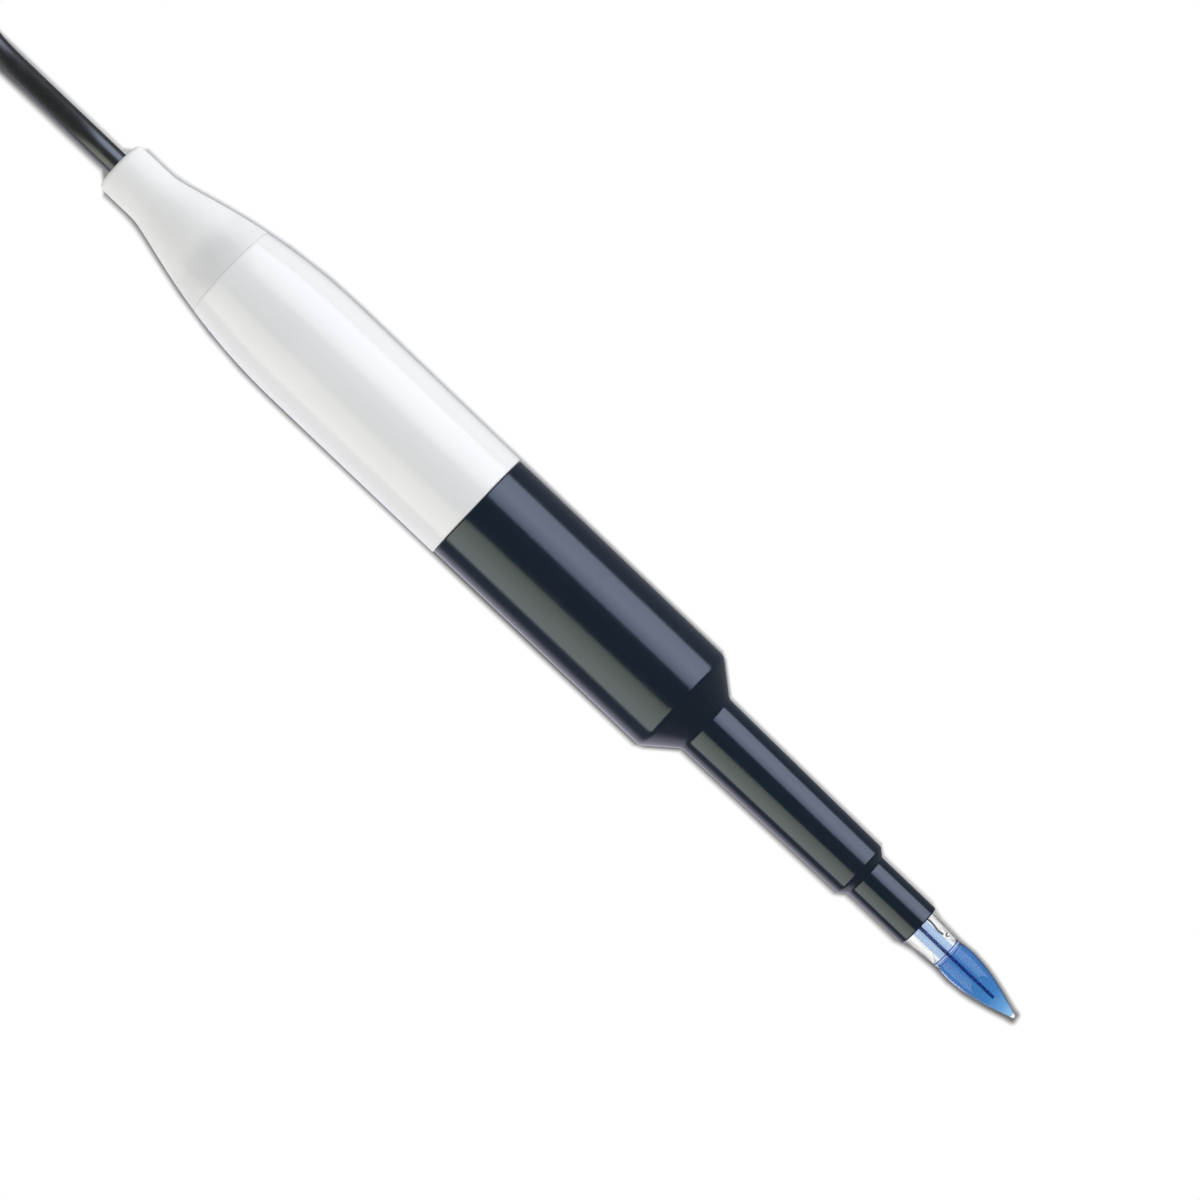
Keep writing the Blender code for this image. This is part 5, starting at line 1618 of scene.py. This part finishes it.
@dataclass
class Plug:
    """Bayonet plug on the cable's end; distances run from the front rim of its coupling nut."""

    front: float = PLUG_FRONT
    nut_length: float = 14.4
    nut_radius: float = 7.25
    nut_front_radius: float = 6.5
    nut_front_length: float = 8.0
    nut_bore: float = 4.9
    collar: float = 3.0
    collar_bore: float = 4.27
    edge: float = 0.4
    flutes: int = 24
    flute_depth: float = 0.35
    flute_start: tuple[float, float] = (0.5, 0.6)
    flute_end: tuple[float, float] = (0.45, 0.5)
    slot_width: float = 2.3
    slot_entry: float = 3.4
    slot_rise: float = 4.0
    slot_turn: float = math.radians(80.0)
    slot_end_radius: float = 1.5
    slot_angles: tuple[float, float] = (-40.0, 140.0)
    overlap: float = 1.0
    slit_length: float = 6.4
    slit_width: float = 0.5
    slit_reach: float = 9.0
    ribs: int = 4
    rib_depth: float = 0.55
    boot_start: float = 18.3
    rib_start: float = 27.65
    boot_end: float = 40.9
    boot_front: float = 4.2
    boot_rear: float = 2.6
    ferrule_room: float = 2.73
    cable_room: float = 1.8
    ferrule_radius: float = 2.7
    hexagon: float = 2.45
    pressed: tuple[float, float] = (19.0, 26.2)

    def turned(
        self, name: str, corners: Sequence[tuple[float, ...]], sides: int = 96
    ) -> bpy.types.Object:
        """Surface of revolution on the plug's axis from corners measured from the nut's rim."""
        return revolved(name, rounded(corners) + (self.front, 0.0), sides, PLUG_AXIS)

    def fluted(self, x: np.ndarray, angle: np.ndarray, radius: np.ndarray) -> np.ndarray:
        """Presses flutes into the grip: the radius falls by a raised cosine of the angle.

        Args:
            x: places along X.
            angle: angles round the axis.
            radius: radii before the change.

        Returns:
            The changed radii.
        """
        groove = (0.5 - 0.5 * np.cos(self.flutes * angle)) ** 2
        u = x - self.front
        margin, fade = self.flute_start
        start = np.clip((u - self.nut_front_length - margin) / fade, 0.0, 1.0)
        margin, fade = self.flute_end
        end = np.clip((self.nut_length - margin - u) / fade, 0.0, 1.0)
        grip = (radius > self.nut_radius - margin) & (u > self.nut_front_length)
        return radius - np.where(grip, self.flute_depth * groove * start * end, 0.0)

    def cutter(
        self,
        name: str,
        x: np.ndarray,
        side: np.ndarray | float,
        high: np.ndarray,
        angle: np.ndarray | float,
    ) -> bpy.types.Object:
        """Tube of sections round the plug's axis, closed by a pole in the middle of each end.

        Turned by the angle, a point lies at y = side cos angle + high sin angle and
        z = high cos angle - side sin angle from the axis.

        Args:
            name: name of the object.
            x: distance of each point from the nut's rim.
            side: its distance sideways.
            high: its distance away from the axis.
            angle: turn of each section about the axis.

        Returns:
            The cutter.
        """
        x, side, high = np.broadcast_arrays(x + self.front, side, high)
        y = PLUG_AXIS[0] + side * np.cos(angle) + high * np.sin(angle)
        z = PLUG_AXIS[1] - side * np.sin(angle) + high * np.cos(angle)
        grid = np.stack([x, y, z], axis=-1)
        poles = np.repeat(grid[[0, -1]].mean(axis=1, keepdims=True), grid.shape[1], axis=1)
        return surface_object(name, np.concatenate([poles[:1], grid, poles[1:]]), wrap_rows=False)

    def slot_cutters(self, start_angle: float) -> list[bpy.types.Object]:
        """Cutters of one bayonet slot: straight entry, rising helix and round end.

        The helix carries a rectangle round the axis; its place along X grows with the angle.

        Args:
            start_angle: turn of the entry about the axis.

        Returns:
            The three cutters.
        """
        inner, outer = self.nut_bore - self.overlap, self.nut_radius + 2 * self.overlap
        half = self.slot_width / 2
        share = np.linspace(0.0, 1.0, 33)[:, None]
        x = self.slot_entry - half + self.slot_rise * share + np.array([-half, -half, half, half])
        radius = np.array([inner, outer, outer, inner])
        ramp = self.cutter("ramp_cutter", x, 0.0, radius, start_angle + self.slot_turn * share)
        entry_x = np.array([[-self.overlap], [self.slot_entry]])
        width = np.array([-half, half, half, -half])
        high = np.array([inner, inner, self.nut_bore + self.overlap, self.nut_bore + self.overlap])
        entry = self.cutter("entry_cutter", entry_x, width, high, start_angle)
        b = np.arange(32) / 32 * math.tau
        end_x = self.slot_entry - half + self.slot_rise + self.slot_end_radius * np.cos(b)
        levels = np.array([[inner], [outer]])
        side = self.slot_end_radius * np.sin(b)
        end = self.cutter("end_cutter", end_x, side, levels, start_angle + self.slot_turn)
        return [entry, ramp, end]

    def nut(self) -> bpy.types.Object:
        """Coupling nut with its flutes and both bayonet slots.

        Returns:
            The piece.
        """
        grip = self.nut_front_length + self.edge
        corners = [
            (0.0, self.nut_front_radius, 0.35),
            (self.nut_front_length, self.nut_front_radius, 0.12), (grip, self.nut_radius, 0.15),
            (grip + 0.8, self.nut_radius), (self.nut_length - 1.0, self.nut_radius),
            (self.nut_length, self.nut_radius, 0.4), (self.nut_length, self.collar_bore, 0.12),
            (self.nut_length - self.collar, self.collar_bore, 0.1),
            (self.nut_length - self.collar, self.nut_bore), (0.0, self.nut_bore, 0.2),
        ]
        outline = rounded(corners) + (self.front, 0.0)
        nut = revolved("fluted_coupling_nut", outline, self.flutes * 12, PLUG_AXIS, self.fluted)
        tools = [self.slot_cutters(math.radians(angle)) for angle in self.slot_angles]
        carved(nut, tools[0] + tools[1])
        return dress(nut, NICKEL, ["bnc_coupling_nut"], Body.NUT)

    def contact_body(self) -> bpy.types.Object:
        """Plug body: slit contact sleeve, flange, barrel with clip groove and crimp stem.

        Returns:
            The piece.
        """
        corners = [
            (1.2, 4.05, 0.12), (8.6, 4.05), (8.6, 4.8, 0.08), (9.8, 4.8, 0.08), (9.8, 4.2),
            (14.7, 4.2), (14.7, 3.7), (15.4, 3.7), (15.4, 4.2, 0.05), (18.0, 4.2, 0.2),
            (18.0, 1.75), (25.0, 1.75, 0.1), (25.0, 1.05), (17.0, 1.05), (17.0, 3.3),
            (1.2, 3.3, 0.2),
        ]
        body = self.turned("contact_body", corners)
        reach = np.array([[-self.overlap], [self.slit_length]])
        thin = self.slit_width / 2 * np.array([-1.0, 1.0, 1.0, -1.0])
        wide = self.slit_reach * np.array([-1.0, -1.0, 1.0, 1.0])
        slits = [self.cutter(f"slit_{i}", reach, thin, wide, math.pi / 2 * i) for i in range(2)]
        carved(body, slits)
        return dress(body, NICKEL, ["bnc_body"])

    def boot(self) -> bpy.types.Object:
        """Ribbed rubber boot over ferrule and cable.

        Returns:
            The piece.
        """
        start, end, front, rear = self.boot_start, self.boot_end, self.boot_front, self.boot_rear
        pitch = (end - self.rib_start) / self.ribs
        slope = (rear - front) / (end - start)
        corners: list[tuple[float, ...]] = [(start, self.ferrule_room, 0.1), (start, front, 0.3)]
        for rib in range(self.ribs):
            x = self.rib_start + rib * pitch
            crest = front + slope * (x - start)
            corners += [
                (x, crest, 0.2), (x + 0.25 * pitch, crest - self.rib_depth, 0.25),
                (x + 0.6 * pitch, crest + slope * 0.6 * pitch, 0.3),
            ]
        corners += [(end, rear, 0.3), (end, self.cable_room, 0.1)]
        corners += [(self.rib_start, self.cable_room), (self.rib_start, self.ferrule_room)]
        return dress(self.turned("ribbed_boot", corners), PLUG_BOOT_SATIN, ["bnc_boot"])

    def ferrule(self) -> bpy.types.Object:
        """Crimp sleeve whose front half is pressed to a hexagon.

        Returns:
            The piece.
        """

        def crimp(x: np.ndarray, angle: np.ndarray, radius: np.ndarray) -> np.ndarray:
            """Flattens the outside to the cosine law of a hexagon, capped at the radius.

            Args:
                x: places along X.
                angle: angles round the axis.
                radius: radii before the change.

            Returns:
                The changed radii.
            """
            flat = self.hexagon / np.cos(np.mod(angle, math.pi / 3) - math.pi / 6)
            u = x - self.front
            outside = radius > (self.cable_room + self.ferrule_radius) / 2
            pressed = outside & (u > self.pressed[0]) & (u < self.pressed[1])
            return np.where(pressed, np.minimum(radius, flat), radius)

        wide, bore = self.ferrule_radius, self.cable_room
        corners = [(18.05, wide, 0.15), (18.9, wide), (19.2, wide), (26.0, wide), (26.4, wide)]
        corners += [(27.35, wide, 0.15), (27.35, bore), (18.05, bore)]
        outline = rounded(corners) + (self.front, 0.0)
        ferrule = revolved("pressed_ferrule", outline, 96, PLUG_AXIS, crimp)
        return dress(ferrule, CRIMPED_NICKEL, ["bnc_crimp_ferrule"])

    def contacts(self) -> list[bpy.types.Object]:
        """Insulator and centre pin.

        Returns:
            Both pieces.
        """
        insulator = self.turned(
            "insulator_bush",
            [
                (3.2, 3.25, 0.15), (17.0, 3.25), (17.0, 1.15),
                (7.8, 1.15), (7.8, 0.725), (3.2, 0.725, 0.15),
            ],
        )
        pin = self.turned(
            "gold_pin",
            [
                (0.8, 0.0), (0.8, 0.675, 0.6), (7.85, 0.675, 0.05),
                (7.85, 1.1), (16.7, 1.1, 0.1), (16.7, 0.0),
            ],
            48,
        )
        dress(insulator, INSULATOR, ["bnc_insulator"])
        dress(pin, GOLD, ["bnc_centre_pin"])
        return [insulator, pin]

    def build(self) -> list[bpy.types.Object]:
        """Builds the plug's pieces and returns them."""
        return [self.nut(), self.contact_body(), self.boot(), self.ferrule(), *self.contacts()]


@dataclass
class CarriedParts:
    """CAD nodes that keep their shape and only get a finish."""

    cord_nodes: tuple[str, ...] = ("cable_core", "bnc_gasket", "bnc_spring_washer", "bnc_retaining_ring")
    finishes: tuple[tuple[Finish, tuple[str, ...]], ...] = (
        (SEAL_RUBBER, ("shell_o_ring", "bnc_gasket")),
        (SILICONE, ("stem_plug", "tube_stopper", "front_seal")), (INSULATOR, ("centring_collar",)),
        (LEAD_SLEEVE, ("cable_core", "signal_lead", "shield_lead")),
        (CRIMPED_NICKEL, ("cable_clamp_ring", "signal_splice", "reference_splice")),
        (RESIN, ("potting_plug",)), (SPRING, ("bnc_spring_washer", "bnc_retaining_ring")),
    )

    def build(self) -> list[bpy.types.Object]:
        """Dresses the nodes.

        Returns:
            The nodes that lie on the cable.
        """
        for finish, names in self.finishes:
            for name in names:
                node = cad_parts[name]
                node.data.materials.clear()
                node.data.materials.append(finish.material())
                log.info("%s: CAD node dressed", name)
        return [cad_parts[name] for name in self.cord_nodes]


@dataclass
class Softbox:
    """Rectangular area lamp at one side, and a curved panel that shows as its reflection.

    The lamp lights everything but leaves no glint. The panel is what gloss and glass show: its
    light changes from its upper edge down to the horizon.
    """

    name: str
    side: float
    radiance: float
    colour: Colour
    panel_stops: tuple[tuple[float, Colour], ...]
    near_zenith: float = 38.0
    length: float = 1.5
    distance: float = 1.0
    panel_edge: tuple[float, float] = (28.0, 28.0)
    panel_length: float = 0.9
    panel_strength: float = 4.0

    def lamp(self) -> None:
        """Spans the lamp from its upper edge, given in degrees from the zenith, to the floor."""
        middle = math.radians((self.near_zenith + 90.0) / 2)
        span = 2 * self.distance * math.tan(math.radians(90.0) - middle)
        data = bpy.data.lights.new(self.name, "AREA")
        data.shape = "RECTANGLE"
        data.size = self.length
        data.size_y = span
        data.color = self.colour
        data.energy = self.radiance * math.pi * self.length * span
        lamp = bpy.data.objects.new(self.name, data)
        aside, height = self.distance * math.sin(middle), self.distance * math.cos(middle)
        lamp.location = (0.0, self.side * aside, height)
        lamp.rotation_euler = (self.side * -middle, 0.0, 0.0)
        lamp.visible_glossy = False
        lamp.visible_transmission = False
        bpy.context.scene.collection.objects.link(lamp)

    def panel(self) -> None:
        """Bends a panel round the electrode's axis.

        A point at the share v of its height has the angle e + v (90 - e) from the zenith, where
        the upper edge e runs evenly from its value at the cap to its value at the tip.
        """
        x, v = np.meshgrid(np.linspace(-1.0, 1.0, 41), np.linspace(0.0, 1.0, 25), indexing="ij")
        reach = np.clip(x * self.panel_length / 2 / (HALF_LENGTH * MM), -1.0, 1.0) * 0.5 + 0.5
        edge = self.panel_edge[0] + reach * (self.panel_edge[1] - self.panel_edge[0])
        angle = np.radians(edge + v * (90.0 - edge))
        points = np.stack(
            [
                x * self.panel_length / 2,
                self.side * self.distance * np.sin(angle),
                self.distance * np.cos(angle) + AXIS_Z * MM,
            ],
            axis=-1,
        )
        index = np.arange(x.size).reshape(x.shape)
        uv = np.stack([x / 2 + 0.5, v], axis=-1)
        mesh = grid_mesh(f"{self.name}_panel", points.reshape(-1, 3), index, uv)
        mesh.materials.append(self.glow())
        panel = linked(f"{self.name}_panel", mesh)
        panel.visible_camera = False
        panel.visible_diffuse = False
        panel.visible_shadow = False

    def glow(self) -> bpy.types.Material:
        """Light of the panel, on a ramp from its upper edge to the horizon.

        Returns:
            The material.
        """
        shader = Shader(f"{self.name}_glow")
        uv = shader.node("ShaderNodeUVMap", {"uv_map": "UVMap"})
        colour = shader.ramp(shader.part(uv, "Y"), self.panel_stops)
        values = {"Color": colour, "Strength": self.panel_strength}
        shader.show(shader.node("ShaderNodeEmission", None, values))
        shader.material.cycles.emission_sampling = "NONE"
        return shader.material

    def build(self) -> None:
        """Sets up lamp and panel."""
        self.lamp()
        self.panel()


@dataclass
class Floor:
    """White floor: in a band round the object's outline it shows the object's shadow over a colour
    painted darker as painted shadow; the rest is plain white.
    """

    size: float = 4.0
    # Painted shadow: floor colours seen by the camera near the outline, lighter on the far side, darker
    # on the near side, and darker still by the tip depth near the tip.
    far_shade: Colour = (0.55, 0.55, 0.56)
    near_shade: Colour = (0.27, 0.265, 0.265)
    tip_depth: float = 0.4
    bounced: Colour = (0.6, 0.602, 0.607)
    glint: Colour = (0.18, 0.18, 0.205)
    rim_glint: Colour = (0.86, 0.84, 1.0)
    strip: Colour = (4.6, 4.7, 4.8)
    near_band: float = 1.0
    far_band: float = 0.72
    width_scale: float = 20.0
    beyond: float = 4.0
    start_x: float = -216.0
    end_x: float = 80.0
    middle_x: float = 3.65
    drawn: float = 0.9905
    end_round: tuple[float, float] = (-156.0, -168.0)
    turnover: tuple[float, float] = (1.0, -1.0)
    tip_shade: tuple[float, float] = (58.0, 66.0)
    mirror_share: float = 0.95
    mirror_start: tuple[float, float] = (-170.0, -110.0)
    mirror_side: tuple[float, float] = (220.0, 150.0)
    rim_outer: tuple[float, float] = (-28.0, -13.0)
    rim_inner: tuple[float, float] = (0.0, -8.0)
    strip_outer: tuple[float, float] = (-13.5, -12.5)
    strip_inner: tuple[float, float] = (-8.0, -9.0)
    strip_rear: tuple[float, float] = (63.8, 65.0)
    strip_front: tuple[float, float] = (72.0, 69.0)
    widths: tuple[tuple[float, float], ...] = (
        (-211.0, 7.2), (-170.0, 4.4), (-164.0, 1.5), (-156.0, 10.0), (-146.6, 13.8), (-117.8, 13.8),
        (-108.0, 10.0), (-103.0, 1.5), (-75.1, 1.5), (-74.8, 3.1), (-74.1, 3.55), (-69.6, 3.55),
        (-67.5, 3.88), (-63.6, 4.89), (-59.0, 5.98), (-53.0, 7.02), (-47.0, 7.62), (-42.0, 7.75),
        (19.2, 7.5), (23.3, 4.15), (49.0, 3.85), (50.0, 3.0), (59.0, 3.0), (59.3, 2.4), (64.1, 2.1),
        (66.0, 2.26), (68.5, 2.04), (70.0, 1.75), (71.7, 1.32), (73.5, 0.8), (75.0, 0.35),
    )

    def outline(self, shader: Shader, x: Wire, y: Wire) -> Wire:
        """Distance beyond the object's outline in plan.

        The half widths along X come from a ramp, read a little nearer the middle because the
        object's widest line lies above the floor. Beyond both ends the distance is the root of the
        sum of the squares of the distances beyond the side and beyond the end.

        Args:
            shader: tree of the material.
            x: places along X.
            y: places along Y.

        Returns:
            The distance in millimetres.
        """
        x = (x - self.middle_x) * self.drawn + self.middle_x
        length, scale = self.end_x - self.start_x, self.width_scale
        stops = [
            ((place - self.start_x) / length, ((half + self.beyond) / scale,) * 3)
            for place, half in self.widths
        ]
        half = shader.ramp((x - self.start_x) / length, stops) * scale - self.beyond
        middle = x.between(*self.end_round) * PLUG_AXIS[0]
        low, high = self.widths[0][0], self.widths[-1][0]
        side = (abs(y - middle) - half).at_least(0.0)
        end = abs(x - (low + high) / 2).at_least((high - low) / 2) - (high - low) / 2
        return (side * side + end * end) ** 0.5

    def build(self) -> None:
        """Makes the floor and its material."""
        shader = Shader("studio_floor")
        x, y = shader.along("X"), shader.along("Y")
        camera, glossy, transmission = map(shader.ray, ("Camera", "Glossy", "Transmission"))
        near = y.between(*self.turnover)
        band = near * (self.near_band - self.far_band) + self.far_band
        plain = (self.outline(shader, x, y) / band).between(0.0, 1.0)
        beside = (abs(y) - x.at_least(0.0)).between(*self.mirror_side)
        mirrored = glossy * (1.0 - transmission) * x.between(*self.mirror_start) * beside
        rim = y.between(*self.rim_outer) * y.between(*self.rim_inner)
        strip = y.between(*self.strip_outer) * y.between(*self.strip_inner)
        strip = strip * x.between(*self.strip_rear) * x.between(*self.strip_front)
        dim = shader.mix(strip, shader.mix(rim, self.glint, self.rim_glint), self.strip)
        values = {"Color": shader.mix(mirrored, (1.0, 1.0, 1.0), dim), "Strength": 1.0}
        white = shader.node("ShaderNodeEmission", None, values)
        # Painted shadow: the colour the camera sees in the band is darker near the outline, most on the
        # near side and at the tip.
        shade = shader.mix(near, self.far_shade, self.near_shade)
        shade = shader.mix(x.between(*self.tip_shade) * self.tip_depth, shade, (0.0, 0.0, 0.0))
        shade = shader.mix(camera, self.bounced, shade)
        diffuse = shader.node("ShaderNodeBsdfDiffuse", None, {"Color": shade})
        share = camera * plain + glossy * self.mirror_share + transmission * self.mirror_share
        shader.show(shader.node("ShaderNodeMixShader", None, {0: share, 1: diffuse, 2: white}))
        corners = [(x * self.size, y * self.size, 0.0) for x, y in ((-1, -1), (1, -1), (1, 1), (-1, 1))]
        mesh = bpy.data.meshes.new("floor")
        mesh.from_pydata(corners, [], [(0, 1, 2, 3)])
        mesh.materials.append(shader.material)
        linked("floor", mesh)


@dataclass
class Studio:
    """Floor, lamps, world and camera."""

    view_width: float = 0.1456
    look_at: tuple[float, float] = (0.00365, 0.00203)
    turn: float = math.radians(43.58)
    lens: float = 200.0
    sensor: float = 36.0
    ambient: float = 0.17
    surroundings: Colour = (0.92, 0.96, 1.0)

    def world(self) -> None:
        """Dim cool surroundings; the camera sees plain white behind the floor."""
        world = bpy.data.worlds.new("surroundings")
        bpy.context.scene.world = world
        graph = Graph(world, "World Output")
        dim, white = (
            graph.node("ShaderNodeBackground", None, {"Color": colour, "Strength": strength})
            for colour, strength in ((self.surroundings, self.ambient), ((1.0, 1.0, 1.0), 1.0))
        )
        graph.show(graph.node("ShaderNodeMixShader", None, {0: graph.ray("Camera"), 1: dim, 2: white}))

    def camera(self) -> None:
        """Long lens that looks straight down on the electrode."""
        data = bpy.data.cameras.new("photo_view")
        data.lens = self.lens
        data.sensor_width = self.sensor
        data.clip_start = 0.01
        height = AXIS_Z * MM + self.view_width * self.lens / self.sensor
        camera = bpy.data.objects.new("photo_view", data)
        camera.location = (*self.look_at, height)
        camera.rotation_euler = (0.0, 0.0, self.turn)
        bpy.context.scene.collection.objects.link(camera)
        bpy.context.scene.camera = camera

    def build(self) -> None:
        """Sets up the whole stage."""
        bpy.context.scene.view_settings.view_transform = "Standard"
        Floor().build()
        self.world()
        self.camera()
        cool, warm = (0.985, 0.99, 1.0), (1.0, 0.995, 0.965)
        Softbox("cool_softbox", 1.0, 3.18, cool, COOL_PANEL).build()
        Softbox("warm_softbox", -1.0, 2.55, warm, WARM_PANEL, panel_edge=(34.0, 25.0)).build()


def main() -> None:
    """Builds the stage and every sub-assembly, and reports each piece."""
    logging.basicConfig(level=logging.INFO, format="%(message)s")
    Studio().build()
    carried = CarriedParts().build()
    Cable().build([*Plug().build(), HankTie().build(), *carried])
    Cap().build()
    Shell().build()
    GlassTip().build()


if __name__ == "__main__":
    main()
